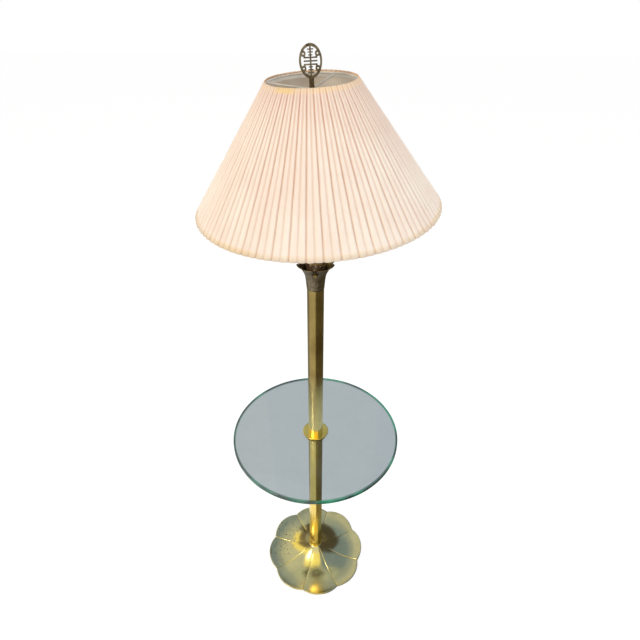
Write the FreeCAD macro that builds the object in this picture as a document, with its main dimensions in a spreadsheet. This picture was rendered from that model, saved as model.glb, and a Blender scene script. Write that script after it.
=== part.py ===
import FreeCAD, Part
import math
import os
import re

import Sketcher

# Floor lamp with a round glass table: a cast foot under an eight-petal brass dish, a brass column in
# two lengths clamped by one threaded pipe, a glass disc on the joint between them, a leaf capital with
# a rotary switch, a socket with its bulb, and a pleated shade that hangs a little crooked on a bent
# harp. Millimetres and degrees. +Z is up, and the origin is the middle of the foot on the floor.
# The front of the lamp, where the switch knob is, looks along -Y.

Vector = FreeCAD.Vector

# ---------------------------------------------------------------- driving sizes

SIZES = {
    # clearances that every fit is made with
    "running_clearance": 0.05,
    "loose_clearance": 0.1,
    "soft_clearance": 0.3,
    "cut_overrun": 1.0,
    # threaded pipe that clamps the column, and its nuts
    "pipe_radius": 5.0,
    "pipe_bore_radius": 3.8,
    "pipe_end_level": 2.6,
    "pipe_split_level": 505.0,
    "nut_across_flats": 17.0,
    "nut_thickness": 3.5,
    "washer_radius": 9.8,
    "washer_thickness": 1.5,
    "coupler_across_flats": 15.0,
    "coupler_length": 26.0,
    # foot: felt, cast weight and the cord's way out
    "felt_radius": 112.0,
    "felt_thickness": 2.0,
    "weight_radius": 118.0,
    "weight_thickness": 8.0,
    "weight_hub_radius": 20.0,
    "weight_hub_level": 24.0,
    "recess_radius": 11.5,
    "recess_depth": 6.0,
    "cord_channel_width": 9.0,
    "cord_channel_depth": 5.0,
    "bushing_length": 12.0,
    "bushing_hole_width": 6.4,
    "bushing_hole_height": 3.2,
    "spacer_radius": 8.0,
    # petal dish over the foot
    "petal_count": 8,
    "petal_turn": 6.5,
    "petal_radius": 147.6,
    "petal_lobe_radius": 76.7,
    "petal_crown": 1.6,
    "dish_low_radius": 110.0,
    "dish_low_level": 12.4,
    "dish_arc_radius": 120.0,
    "dish_neck_radius": 18.6,
    "dish_wall": 1.8,
    "dish_edge_height": 5.0,
    # column
    "column_radius": 18.2,
    "column_wall": 1.2,
    "spigot_length": 8.0,
    "foot_ring_radius": 19.8,
    "foot_ring_height": 4.0,
    # glass table
    "glass_level": 554.0,
    "glass_radius": 211.5,
    "glass_thickness": 10.0,
    "glass_edge_round": 1.5,
    "glass_hole_radius": 8.0,
    "flange_radius": 27.0,
    "flange_thickness": 4.0,
    "lower_gasket_thickness": 1.5,
    "upper_gasket_thickness": 1.0,
    "gasket_setback": 1.5,
    "collar_radius": 32.6,
    "collar_thickness": 3.2,
    "collar_seat_margin": 1.5,
    "turned_edge_round": 1.2,
    # leaf capital on the column's top
    "capital_level": 989.0,
    "leaf_foot_radius": 17.6,
    "leaf_height": 58.0,
    "leaf_reach": 37.5,
    "leaf_curl": 2.6,
    "leaf_wall": 1.2,
    "leaf_gap_start": 52.0,
    "leaf_gap_width": 3.6,
    "leaf_gap_flare": 6.5,
    "leaf_gap_bulge": 2.2,
    # switch cup, its rotary switch and knob
    "cup_level": 1020.0,
    "cup_radius": 19.8,
    "cup_height": 29.5,
    "cup_wall": 1.0,
    "lid_thickness": 1.5,
    "knob_level": 1033.0,
    "knob_hole_radius": 5.7,
    "switch_width": 18.0,
    "switch_height": 16.0,
    "switch_depth": 10.5,
    "switch_floor": 2.0,
    "switch_neck_radius": 4.0,
    "switch_neck_length": 5.0,
    "switch_nut_across_flats": 9.6,
    "switch_nut_thickness": 1.6,
    "knob_stem_radius": 2.0,
    "knob_radius": 4.9,
    "knob_length": 12.0,
    "knob_waist_radius": 3.4,
    "knob_waist_length": 3.0,
    "knob_flare_end": 4.8,
    "knob_grip_end": 9.6,
    # socket and bulb
    "saddle_thickness": 1.5,
    "socket_radius": 19.0,
    "socket_wall": 0.8,
    "socket_cap_height": 18.0,
    "socket_cap_taper": 4.0,
    "socket_collar_wall": 2.0,
    "socket_shell_length": 42.0,
    "socket_liner_thickness": 0.8,
    "socket_liner_setback": 0.5,
    "socket_body_height": 14.0,
    "socket_body_sink": 2.0,
    "socket_body_rim": 8.4,
    "screw_shell_wall": 0.5,
    "screw_shell_length": 24.0,
    "contact_radius": 3.0,
    "contact_thickness": 1.0,
    "bulb_base_radius": 13.0,
    "bulb_base_length": 25.0,
    "bulb_base_wall": 0.5,
    "bulb_base_taper": 6.25,
    "bulb_base_filling": 12.5,
    "bulb_neck_sink": 6.25,
    "bulb_neck_straight": 10.0,
    "bulb_flank_angle": 30.0,
    "bulb_radius": 30.0,
    "bulb_length": 108.0,
    "bulb_wall": 0.9,
    # harp
    "harp_height": 320.2,
    "harp_lean": 2.26,
    "harp_lean_azimuth": 244.7,
    "harp_wire_radius": 2.0,
    "harp_foot_spread": 32.0,
    "harp_foot_straight": 50.0,
    "harp_spread": 57.0,
    "harp_belly_level": 120.0,
    "harp_shoulder_level": 215.0,
    "harp_top_drop": 10.0,
    "harp_top_spread": 20.0,
    "harp_bend_share": 0.3,
    "saddle_radius": 12.0,
    "saddle_width": 12.0,
    "saddle_lap": 3.6,
    "saddle_arm_height": 12.0,
    "sleeve_length": 14.0,
    "sleeve_wall": 1.2,
    "sleeve_rest_level": 5.0,
    "seat_radius": 7.0,
    "seat_height": 14.0,
    "stud_radius": 3.05,
    "stud_length": 12.0,
    # shade
    "shade_lean": 3.53,
    "shade_lean_azimuth": 213.3,
    "shade_top_level": 17.0,
    "shade_length": 213.7,
    "shade_bottom_radius": 228.0,
    "shade_top_radius": 77.4,
    "pleat_count": 104,
    "pleat_depth_share": 0.02,
    "pleat_face_share": 0.62,
    "pleat_cloth": 0.9,
    "liner_thickness": 0.8,
    "tape_width": 9.0,
    "tape_thickness": 0.6,
    "ring_wire_radius": 1.6,
    "hub_radius": 9.0,
    "hub_thickness": 2.0,
    "arm_radius": 1.6,
    "arm_count": 3,
    "arm_azimuth": 176.0,
    # finial
    "finial_collar_radius": 4.6,
    "finial_collar_height": 4.0,
    "finial_bead_radius": 3.8,
    "finial_neck_radius": 4.2,
    "finial_neck_level": 8.6,
    "medallion_level": 17.0,
    "medallion_width": 37.0,
    "medallion_height": 50.2,
    "medallion_thickness": 3.2,
    "medallion_border": 3.3,
    "medallion_crown_border": 4.2,
    "fret_bar": 1.9,
    "fret_bar_length": 22.0,
    "fret_spine": 2.6,
    "fret_foot_width": 7.5,
    "fret_rib": 1.5,
    "fret_rib_start": 8.5,
    "fret_rib_length": 6.7,
    "fret_rib_growth": 1.7,
    "fret_rib_pitch": 4.1,
    "fret_rib_count": 3,
    "fret_window_level": 4.9,
    "fret_link_width": 2.8,
    "fret_boss_across": 11.4,
    "fret_boss_up": 10.6,
    "fret_boss_radius": 4.2,
    "fret_boss_hole_radius": 1.4,
}

# Levels and radii that follow from the driving sizes. Each is a formula in their names.
DERIVED = {
    "pipe_hole_radius": "pipe_radius + loose_clearance",
    "weight_level": "felt_thickness",
    "recess_level": "weight_level + recess_depth",
    "washer_level": "recess_level - washer_thickness",
    "base_nut_level": "washer_level - nut_thickness",
    "dish_neck_level": "dish_low_level + dish_arc_radius"
                       " - sqrt(dish_arc_radius^2 - (dish_low_radius - dish_neck_radius)^2)",
    "spacer_length": "dish_neck_level - dish_wall - weight_hub_level",
    "lower_tube_level": "dish_neck_level + foot_ring_height",
    "glass_under": "glass_level - glass_thickness",
    "flange_top": "glass_under - lower_gasket_thickness",
    "flange_level": "flange_top - flange_thickness",
    "collar_level": "glass_level + upper_gasket_thickness",
    "upper_tube_level": "collar_level + collar_thickness",
    "collar_seat_radius": "collar_radius + collar_seat_margin",
    "spigot_radius": "column_radius - column_wall - loose_clearance",
    "leaf_nut_level": "capital_level + leaf_wall",
    "cup_nut_level": "cup_level - nut_thickness",
    "cup_top": "cup_level + cup_height",
    "saddle_level": "cup_top + lid_thickness",
    "socket_level": "saddle_level + saddle_thickness",
    "socket_collar_height": "socket_cap_height / 2",
    "pipe_top": "socket_level + socket_collar_height",
    "shell_level": "socket_level + socket_cap_height",
    "socket_liner_radius": "socket_radius - socket_wall - running_clearance",
    "socket_body_radius": "socket_liner_radius - socket_liner_thickness - loose_clearance",
    "socket_body_level": "shell_level - socket_body_sink",
    "screw_level": "socket_body_level + socket_body_height",
    "contact_level": "screw_level",
    "bulb_level": "contact_level + contact_thickness + soft_clearance",
    "switch_face": "cup_radius - cup_wall - loose_clearance",
    "switch_front": "sqrt(switch_face^2 - (switch_width / 2)^2)",
    "switch_back": "switch_face - switch_depth",
    "stem_end": "switch_back + switch_floor",
    "switch_neck_end": "switch_face + switch_neck_length",
    "knob_start": "switch_neck_end + soft_clearance",
    "sleeve_bore": "harp_wire_radius + running_clearance",
    "stud_bore": "stud_radius + loose_clearance",
    "shade_bottom_level": "shade_top_level - shade_length",
    "pleat_top_depth": "shade_top_radius * pleat_depth_share",
    "pleat_bottom_depth": "shade_bottom_radius * pleat_depth_share",
    "liner_top_radius": "shade_top_radius - pleat_top_depth - pleat_cloth - soft_clearance",
    "liner_bottom_radius": "shade_bottom_radius - pleat_bottom_depth - pleat_cloth - soft_clearance",
    "shade_slope": "(shade_bottom_radius - shade_top_radius) / shade_length",
    "tape_inset": "liner_thickness + soft_clearance + tape_thickness",
    "ring_inset": "tape_inset + (soft_clearance + ring_wire_radius) * sqrt(1 + shade_slope^2)",
    "top_ring_level": "shade_top_level - tape_width / 2",
    "top_ring_radius": "liner_top_radius + shade_slope * tape_width / 2 - ring_inset",
    "bottom_ring_level": "shade_bottom_level + tape_width / 2",
    "bottom_ring_radius": "liner_bottom_radius - shade_slope * tape_width / 2 - ring_inset",
    "finial_foot_level": "hub_thickness + running_clearance",
    "finial_collar_top": "hub_thickness + finial_collar_height",
}


def expand(formula):
    """Writes a formula in size names as one that the sheet understands."""
    def replace(match):
        word = match.group(0)
        if word in DERIVED:
            return "(" + expand(DERIVED[word]) + ")"
        if word in SIZES:
            return "Sizes." + word
        return word
    return re.sub(r"[A-Za-z_]+", replace, str(formula))


document = FreeCAD.newDocument("FloorLamp")
sheet = document.addObject("Spreadsheet::Sheet", "Sizes")
for row, (alias, size) in enumerate(SIZES.items(), start=1):
    sheet.set("A%d" % row, alias)
    sheet.set("B%d" % row, str(size))
    sheet.setAlias("B%d" % row, alias)
document.recompute()

nodes = []

ORIGIN = ("0", "0", "0")
UPRIGHT = [(("0", "0", "1"), "0")]
FORWARD = [(("1", "0", "0"), "90")]  # turns a piece's own +Z to the lamp's front


def number(formula):
    """The value of a formula in size names, in millimetres or degrees."""
    return float(sheet.evalExpression(expand(formula)))


def bind(item, **formulas):
    """Ties properties of an object to formulas in size names."""
    for name, formula in formulas.items():
        item.setExpression(name, expand(formula))
    return item


def place(item, base=ORIGIN, turn=UPRIGHT, offset=ORIGIN):
    """Ties a Placement to a base point, a turn about it, and an offset in the turned frame.

    The points are triples of formulas, and the turn is a list of (axis, angle) formulas.
    """
    rotation = "*".join(
        "rotation(vector(%s;%s;%s);%s)" % (*map(expand, axis), expand(angle)) for axis, angle in turn)
    point = "vector(%s;%s;%s)" % tuple(map(expand, base))
    formula = "placement(%s;%s)" % (point, rotation)
    if offset != ORIGIN:
        shift = "vector(%s;%s;%s)" % tuple(map(expand, offset))
        formula += " * placement(%s;rotation(vector(0;0;1);0))" % shift
    item.setExpression("Placement", formula)
    return item


def keep(item, name, base=ORIGIN, turn=UPRIGHT, offset=ORIGIN):
    """Names an object as a piece of the lamp and puts it in its place."""
    item.Label = name
    place(item, base, turn, offset)
    nodes.append(item)
    return item


# ---------------------------------------------------------------- the two leaning frames

def leaning(lean, azimuth):
    """The turn that tips +Z by a lean towards an azimuth."""
    return [(("-sin(%s)" % azimuth, "cos(%s)" % azimuth, "0"), lean)]


HARP_TURN = leaning("harp_lean", "harp_lean_azimuth")
SHADE_TURN = leaning("shade_lean", "shade_lean_azimuth")
HARP_BASE = ("0", "0", "saddle_level")
SHADE_BASE = (
    "harp_height * sin(harp_lean) * cos(harp_lean_azimuth)",
    "harp_height * sin(harp_lean) * sin(harp_lean_azimuth)",
    "saddle_level + harp_height * cos(harp_lean)",
)


# ---------------------------------------------------------------- ways of making a piece

def origin_plane(body, role):
    """One of a body's own origin planes."""
    return next(plane for plane in body.Origin.OriginFeatures if plane.Role == role)


def sketch_on(body, role, name):
    """An empty sketch on one of the body's origin planes."""
    sketch = body.newObject("Sketcher::SketchObject", name)
    sketch.AttachmentSupport = [(origin_plane(body, role), "")]
    sketch.MapMode = "FlatFace"
    return sketch


def draw_outline(sketch, corners):
    """Draws a closed outline whose corners are pairs of formulas, each held by its own dimensions."""
    points = [Vector(number(across), number(up), 0) for across, up in corners]
    count = len(points)
    for index, point in enumerate(points):
        sketch.addGeometry(Part.LineSegment(point, points[(index + 1) % count]), False)
    for index in range(count):
        sketch.addConstraint(Sketcher.Constraint("Coincident", index, 2, (index + 1) % count, 1))
    for index, corner in enumerate(corners):
        for kind, axis, formula in (("DistanceX", -2, corner[0]), ("DistanceY", -1, corner[1])):
            if formula == "0":
                sketch.addConstraint(Sketcher.Constraint("PointOnObject", index, 1, axis))
                continue
            held = sketch.addConstraint(
                Sketcher.Constraint(kind, -1, 1, index, 1, number(formula)))
            sketch.setExpression("Constraints[%d]" % held, expand(formula))


def turned(name, corners):
    """A body turned about its own Z axis from an outline of (radius, level) corners."""
    body = document.addObject("PartDesign::Body", name)
    sketch = sketch_on(body, "XZ_Plane", name + "_outline")
    draw_outline(sketch, corners)
    revolution = body.newObject("PartDesign::Revolution", name + "_turning")
    revolution.Profile = sketch
    revolution.ReferenceAxis = (sketch, ["V_Axis"])
    revolution.Angle = 360
    document.recompute()
    return body


def ring(name, outer, inner, height):
    """A plain ring or tube that stands on z = 0."""
    return turned(name, [(inner, "0"), (outer, "0"), (outer, height), (inner, height)])


def flanged(name, flange_radius, flange_height, spigot_side, bore="pipe_hole_radius"):
    """A disc with a spigot that enters the column's tube, above (1) or below (-1) the disc."""
    if spigot_side > 0:
        spigot_end = "%s + spigot_length" % flange_height
        return turned(name, [
            (bore, "0"), (flange_radius, "0"), (flange_radius, flange_height),
            ("spigot_radius", flange_height), ("spigot_radius", spigot_end), (bore, spigot_end)])
    return turned(name, [
        (bore, "-spigot_length"), ("spigot_radius", "-spigot_length"), ("spigot_radius", "0"),
        (flange_radius, "0"), (flange_radius, flange_height), (bore, flange_height)])


def soften(body, radius, chosen):
    """Rounds the chosen edges of a body's last feature."""
    base = body.Tip
    names = ["Edge%d" % (index + 1) for index, edge in enumerate(base.Shape.Edges) if chosen(edge)]
    fillet = body.newObject("PartDesign::Fillet", body.Name + "_round%d" % len(body.Group))
    fillet.Base = (base, names)
    bind(fillet, Radius=radius)
    document.recompute()
    return body


def circle_at(radius, level):
    """A test for a round edge of a radius at a level, in the piece's own frame."""
    wanted_radius, wanted_level = number(radius), number(level)

    def test(edge):
        curve = edge.Curve
        return (isinstance(curve, Part.Circle) and abs(curve.Radius - wanted_radius) < 1e-4
                and abs(curve.Center.z - wanted_level) < 1e-4)
    return test


def solid_cylinder(name, radius, height, base=ORIGIN, turn=UPRIGHT, offset=ORIGIN):
    """A Part cylinder tied to the sheet."""
    cylinder = document.addObject("Part::Cylinder", name)
    bind(cylinder, Radius=radius, Height=height)
    return place(cylinder, base, turn, offset)


def solid_box(name, length, width, height, base=ORIGIN):
    """A Part box tied to the sheet."""
    box = document.addObject("Part::Box", name)
    bind(box, Length=length, Width=width, Height=height)
    return place(box, base)


def cut(name, base, tool):
    """The base less the tool."""
    result = document.addObject("Part::Cut", name)
    result.Base = base
    result.Tool = tool
    return result


def join(name, shapes):
    """Several shapes as one."""
    result = document.addObject("Part::MultiFuse", name)
    result.Shapes = shapes
    return result


def join_one(name, shape):
    """A single shape as a piece of its own."""
    result = document.addObject("Part::Compound", name)
    result.Links = [shape]
    return result


def hexagon(name, across_flats, height, bore):
    """A hexagonal nut or coupler on z = 0."""
    prism = document.addObject("Part::Prism", name + "_blank")
    prism.Polygon = 6
    bind(prism, Circumradius="%s / 2 / cos(30)" % across_flats, Height=height)
    return cut(name, prism, solid_cylinder(name + "_bore", bore, height))


def free_form(name, shape):
    """A piece whose free shape is made by a function from the sheet's sizes."""
    feature = document.addObject("Part::Feature", name)
    feature.Shape = shape
    return feature


def bent_wire(points, radius, bend_share):
    """A round wire along straight runs, with an arc at each corner that uses a share of its runs."""
    edges = []
    start = points[0]
    for before, corner, after in zip(points, points[1:], points[2:]):
        to_corner, from_corner = corner - before, after - corner
        half_turn = to_corner.getAngle(from_corner) / 2
        reach = bend_share * min(to_corner.Length, from_corner.Length)
        arc_radius = reach / math.tan(half_turn)
        first = corner - to_corner.normalize() * reach
        last = corner + from_corner.normalize() * reach
        inward = (last - corner + first - corner).normalize()
        middle = corner + inward * (arc_radius / math.cos(half_turn) - arc_radius)
        edges.append(Part.LineSegment(start, first).toShape())
        edges.append(Part.Arc(first, middle, last).toShape())
        start = last
    edges.append(Part.LineSegment(start, points[-1]).toShape())
    path = Part.Wire(edges)
    section = Part.Wire(Part.Circle(points[0], points[1] - points[0], radius).toShape())
    return path.makePipeShell([section], True, True)


# ---------------------------------------------------------------- foot

def base_felt():
    """Felt pad that the lamp stands on, glued over the weight's recess."""
    keep(turned("base_felt", [("0", "0"), ("felt_radius", "0"), ("felt_radius", "felt_thickness"),
                              ("0", "felt_thickness")]), "base_felt")


def base_weight():
    """Cast disc with a hub, a recess for the clamping nut and a channel for the cord."""
    casting = turned("weight_casting", [
        ("pipe_hole_radius", "recess_depth"), ("recess_radius", "recess_depth"),
        ("recess_radius", "0"), ("weight_radius", "0"), ("weight_radius", "weight_thickness"),
        ("weight_hub_radius", "weight_thickness"),
        ("weight_hub_radius", "weight_hub_level - weight_level"),
        ("pipe_hole_radius", "weight_hub_level - weight_level")])
    channel = solid_box(
        "weight_channel", "weight_radius + cut_overrun", "cord_channel_width", "cord_channel_depth",
        ("0", "-cord_channel_width / 2", "0"))
    keep(cut("base_weight", casting, channel), "base_weight",
         ("0", "0", "weight_level"), [(("0", "0", "1"), "90")])


def cord_bushing():
    """Rubber bushing in the channel's mouth, with a slot for a flat two-core cord."""
    width = "cord_channel_width - 2 * loose_clearance"
    height = "cord_channel_depth - loose_clearance"
    block = solid_box("bushing_block", "bushing_length", width, height,
                      ("0", "-(%s) / 2" % width, "0"))
    slot = solid_box("bushing_slot", "bushing_length", "bushing_hole_width", "bushing_hole_height",
                     ("0", "-bushing_hole_width / 2", "(%s - bushing_hole_height) / 2" % height))
    keep(cut("cord_bushing", block, slot), "cord_bushing",
         ("0", "weight_radius - bushing_length", "weight_level"), [(("0", "0", "1"), "90")])


def base_fasteners():
    """Nut and washer that pull the pipe down against the weight, and the spacer above it."""
    keep(ring("base_washer", "washer_radius", "pipe_hole_radius", "washer_thickness"),
         "base_washer", ("0", "0", "washer_level"))
    keep(hexagon("base_nut", "nut_across_flats", "nut_thickness", "pipe_radius + running_clearance"),
         "base_nut", ("0", "0", "base_nut_level"))
    keep(ring("base_spacer", "spacer_radius", "pipe_hole_radius", "spacer_length"),
         "base_spacer", ("0", "0", "weight_hub_level"))


def dish_section(offset, lobe_angle):
    """Closed outline of the dish in the upright plane that lies an angle off a petal's middle."""
    centre = number("petal_radius - petal_lobe_radius")
    lobe = number("petal_lobe_radius")
    swing = math.radians(offset)
    rim = centre * math.cos(swing) + math.sqrt(lobe ** 2 - (centre * math.sin(swing)) ** 2)
    neck, neck_level = number("dish_neck_radius"), number("dish_neck_level")
    wall, edge_height = number("dish_wall"), number("dish_edge_height")
    crown = number("petal_crown") * (1 - (offset / lobe_angle) ** 2)

    def level(radius, lift):
        arc = number("dish_arc_radius")
        drop = math.sqrt(arc ** 2 - (number("dish_low_radius") - radius) ** 2)
        return number("dish_low_level") + arc - drop + lift

    middle = (neck + rim) / 2
    eye = number("pipe_radius") / 2
    outer_rim = (rim, level(rim, crown))
    inner_rim = (rim - wall, level(rim - wall, crown) - wall)
    corners = {
        "eye_top": (eye, neck_level), "neck_top": (neck, neck_level),
        "outer_middle": (middle, level(middle, crown)), "outer_rim": outer_rim,
        "edge": (rim, outer_rim[1] - edge_height), "lip": (rim - wall, outer_rim[1] - edge_height),
        "inner_rim": inner_rim, "inner_middle": (middle - wall / 2, level(middle, crown) - wall),
        "neck_under": (neck - wall, neck_level - wall), "eye_under": (eye, neck_level - wall)}
    point = {name: Vector(across * math.cos(swing), across * math.sin(swing), up)
             for name, (across, up) in corners.items()}

    def line(first, last):
        return Part.LineSegment(point[first], point[last]).toShape()

    return Part.Wire([
        line("eye_top", "neck_top"),
        Part.Arc(point["neck_top"], point["outer_middle"], point["outer_rim"]).toShape(),
        line("outer_rim", "edge"), line("edge", "lip"), line("lip", "inner_rim"),
        Part.Arc(point["inner_rim"], point["inner_middle"], point["neck_under"]).toShape(),
        line("neck_under", "eye_under"), line("eye_under", "eye_top")])


def base_dish():
    """Pressed brass dish: one petal lofted through upright sections, repeated round the axis."""
    count = round(number("petal_count"))
    lobe_angle = 180 / count
    steps = 6
    offsets = [lobe_angle * (2 * step / steps - 1) for step in range(steps + 1)]
    petal = Part.makeLoft([dish_section(offset, lobe_angle) for offset in offsets], True, False)
    petals = []
    for index in range(count):
        copy = petal.copy()
        copy.rotate(Vector(), Vector(0, 0, 1), index * 2 * lobe_angle)
        petals.append(copy)
    dish = petals[0].multiFuse(petals[1:])
    bore = Part.makeCylinder(number("pipe_hole_radius"), number("dish_neck_level + cut_overrun"))
    keep(free_form("base_dish", dish.cut(bore)), "base_dish", turn=[(("0", "0", "1"), "petal_turn")])


# ---------------------------------------------------------------- column

def column_foot():
    """Turned ring between the dish and the lower tube."""
    foot = flanged("column_foot", "foot_ring_radius", "foot_ring_height", 1)
    soften(foot, "turned_edge_round", circle_at("foot_ring_radius", "foot_ring_height"))
    soften(foot, "turned_edge_round", circle_at("foot_ring_radius", "0"))
    keep(foot, "column_foot", ("0", "0", "dish_neck_level"))


def column_tubes():
    """The two lengths of brass tube below and above the table."""
    bore = "column_radius - column_wall"
    keep(ring("lower_tube", "column_radius", bore, "flange_level - lower_tube_level"),
         "lower_tube", ("0", "0", "lower_tube_level"))
    keep(ring("upper_tube", "column_radius", bore, "capital_level - upper_tube_level"),
         "upper_tube", ("0", "0", "upper_tube_level"))
    keep(ring("tube_plug", "spigot_radius", "pipe_hole_radius", "spigot_length"),
         "tube_plug", ("0", "0", "capital_level - spigot_length"))


def clamping_pipe():
    """Threaded pipe in two lengths with the coupler that joins them, and the cord's way inside."""
    keep(ring("lower_pipe", "pipe_radius", "pipe_bore_radius", "pipe_split_level - pipe_end_level"),
         "lower_pipe", ("0", "0", "pipe_end_level"))
    keep(ring("upper_pipe", "pipe_radius", "pipe_bore_radius", "pipe_top - pipe_split_level"),
         "upper_pipe", ("0", "0", "pipe_split_level"))
    keep(hexagon("pipe_coupler", "coupler_across_flats", "coupler_length",
                 "pipe_radius + running_clearance"),
         "pipe_coupler", ("0", "0", "pipe_split_level - coupler_length / 2"))


# ---------------------------------------------------------------- glass table

def glass_table():
    """Round glass with its flange, collar, gaskets and the bushing in its hole."""
    flange = flanged("table_flange", "flange_radius", "flange_thickness", -1)
    soften(flange, "turned_edge_round", circle_at("flange_radius", "0"))
    keep(flange, "table_flange", ("0", "0", "flange_level"))
    keep(ring("lower_gasket", "flange_radius - gasket_setback", "glass_hole_radius",
              "lower_gasket_thickness"),
         "lower_gasket", ("0", "0", "flange_top"))
    # the collar's seat is a face of its own, so the open ring round it is the table's surface
    glass = turned("glass_top", [
        ("glass_hole_radius", "0"), ("glass_radius", "0"), ("glass_radius", "glass_thickness"),
        ("collar_seat_radius", "glass_thickness"), ("glass_hole_radius", "glass_thickness")])
    glass.Tip.Refine = False
    soften(glass, "glass_edge_round", circle_at("glass_radius", "glass_thickness"))
    glass.Tip.Refine = False
    soften(glass, "glass_edge_round", circle_at("glass_radius", "0"))
    glass.Tip.Refine = False
    keep(glass, "glass_top", ("0", "0", "glass_under"))
    keep(ring("glass_bushing", "glass_hole_radius - loose_clearance", "pipe_hole_radius",
              "glass_thickness"),
         "glass_bushing", ("0", "0", "glass_under"))
    keep(ring("upper_gasket", "collar_radius - gasket_setback", "glass_hole_radius",
              "upper_gasket_thickness"),
         "upper_gasket", ("0", "0", "glass_level"))
    collar = flanged("table_collar", "collar_radius", "collar_thickness", 1)
    soften(collar, "turned_edge_round", circle_at("collar_radius", "collar_thickness"))
    soften(collar, "turned_edge_round", circle_at("collar_radius", "0"))
    keep(collar, "table_collar", ("0", "0", "collar_level"))


# ---------------------------------------------------------------- capital and switch

def smooth_curve(points):
    """One smooth edge through points."""
    curve = Part.BSplineCurve()
    curve.interpolate(points)
    return curve.toShape()


def leaf_profile(inset):
    """Points of the bell of leaves from its foot to the curled tips, drawn in by a wall's inset."""
    foot, reach = number("leaf_foot_radius"), number("leaf_reach")
    height, curl = number("leaf_height"), number("leaf_curl")
    swell = reach - foot
    # share of the swell that the bell has gained at each share of its height
    shares = ((0.0, 0.0), (0.33, 0.09), (0.52, 0.18), (0.68, 0.36), (0.82, 0.60), (0.94, 0.88))
    points = [Vector(foot + swell * gained - inset, 0, height * risen) for risen, gained in shares]
    points[0].z += inset
    crest = height - number("leaf_wall") + inset
    points.append(Vector(reach, 0, crest))
    points.append(Vector(reach + curl, 0, crest - curl / 2))
    return points


def leaf_gap():
    """Notch between two leaves, widening from a round bottom to the tips, cut along +X."""
    radius = number("leaf_gap_width / 2")
    bottom = number("leaf_gap_start") + radius
    top = number("leaf_height") + radius
    spread = radius + number("leaf_gap_flare")
    right, left = Vector(0, radius, bottom), Vector(0, -radius, bottom)
    low = Vector(0, 0, bottom - radius)
    right_top, left_top = Vector(0, spread, top), Vector(0, -spread, top)
    right_bulge = Vector(0, radius + number("leaf_gap_bulge"), (bottom + top) / 2)
    left_bulge = Vector(0, -right_bulge.y, right_bulge.z)
    outline = Part.Wire([
        Part.Arc(left, low, right).toShape(), Part.Arc(right, right_bulge, right_top).toShape(),
        Part.LineSegment(right_top, left_top).toShape(), Part.Arc(left_top, left_bulge, left).toShape()])
    return Part.Face(outline).extrude(Vector(2 * number("leaf_reach"), 0, 0))


def capital():
    """Thin cup of eight bronze leaves on the column's end, held by a nut on the pipe."""
    outer = leaf_profile(0.0)
    inner = leaf_profile(number("leaf_wall"))[::-1]
    floor_under = Vector(number("pipe_hole_radius"), 0, 0)
    floor_top = floor_under + Vector(0, 0, number("leaf_wall"))
    outline = Part.Wire([
        Part.LineSegment(floor_under, outer[0]).toShape(), smooth_curve(outer),
        Part.LineSegment(outer[-1], inner[0]).toShape(), smooth_curve(inner),
        Part.LineSegment(inner[-1], floor_top).toShape(),
        Part.LineSegment(floor_top, floor_under).toShape()])
    bell = Part.Face(outline).revolve(Vector(), Vector(0, 0, 1), 360)
    count = round(number("petal_count"))
    gaps = []
    for index in range(count):
        gap = leaf_gap()
        gap.rotate(Vector(), Vector(0, 0, 1), (index + 0.5) * 360 / count)
        gaps.append(gap)
    # one gap looks to the front, with the switch knob's hole below it
    knob_hole = Part.makeCylinder(
        number("knob_hole_radius"), 2 * number("leaf_reach"),
        Vector(0, 0, number("knob_level - capital_level")), Vector(1, 0, 0))
    knob_hole.rotate(Vector(), Vector(0, 0, 1), 180 / count)
    keep(free_form("capital_leaves", bell.cut(gaps + [knob_hole])), "capital_leaves",
         ("0", "0", "capital_level"), [(("0", "0", "1"), "-90 - 180 / petal_count")])
    keep(hexagon("leaf_nut", "nut_across_flats", "nut_thickness", "pipe_radius + running_clearance"),
         "leaf_nut", ("0", "0", "leaf_nut_level"))


def switch_cup():
    """Copper-brown cup on its own nut, with a hole for the switch and a lid."""
    keep(hexagon("cup_nut", "nut_across_flats", "nut_thickness", "pipe_radius + running_clearance"),
         "cup_nut", ("0", "0", "cup_nut_level"))
    cup = turned("cup_spinning", [
        ("pipe_hole_radius", "0"), ("cup_radius", "0"), ("cup_radius", "cup_height"),
        ("cup_radius - cup_wall", "cup_height"), ("cup_radius - cup_wall", "cup_wall"),
        ("pipe_hole_radius", "cup_wall")])
    hole = solid_cylinder("cup_hole", "switch_neck_radius + loose_clearance", "cup_radius",
                          ("0", "0", "knob_level - cup_level"), FORWARD)
    keep(cut("switch_cup", cup, hole), "switch_cup", ("0", "0", "cup_level"))
    keep(ring("cup_lid", "cup_radius", "pipe_hole_radius", "lid_thickness"),
         "cup_lid", ("0", "0", "cup_top"))


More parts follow.
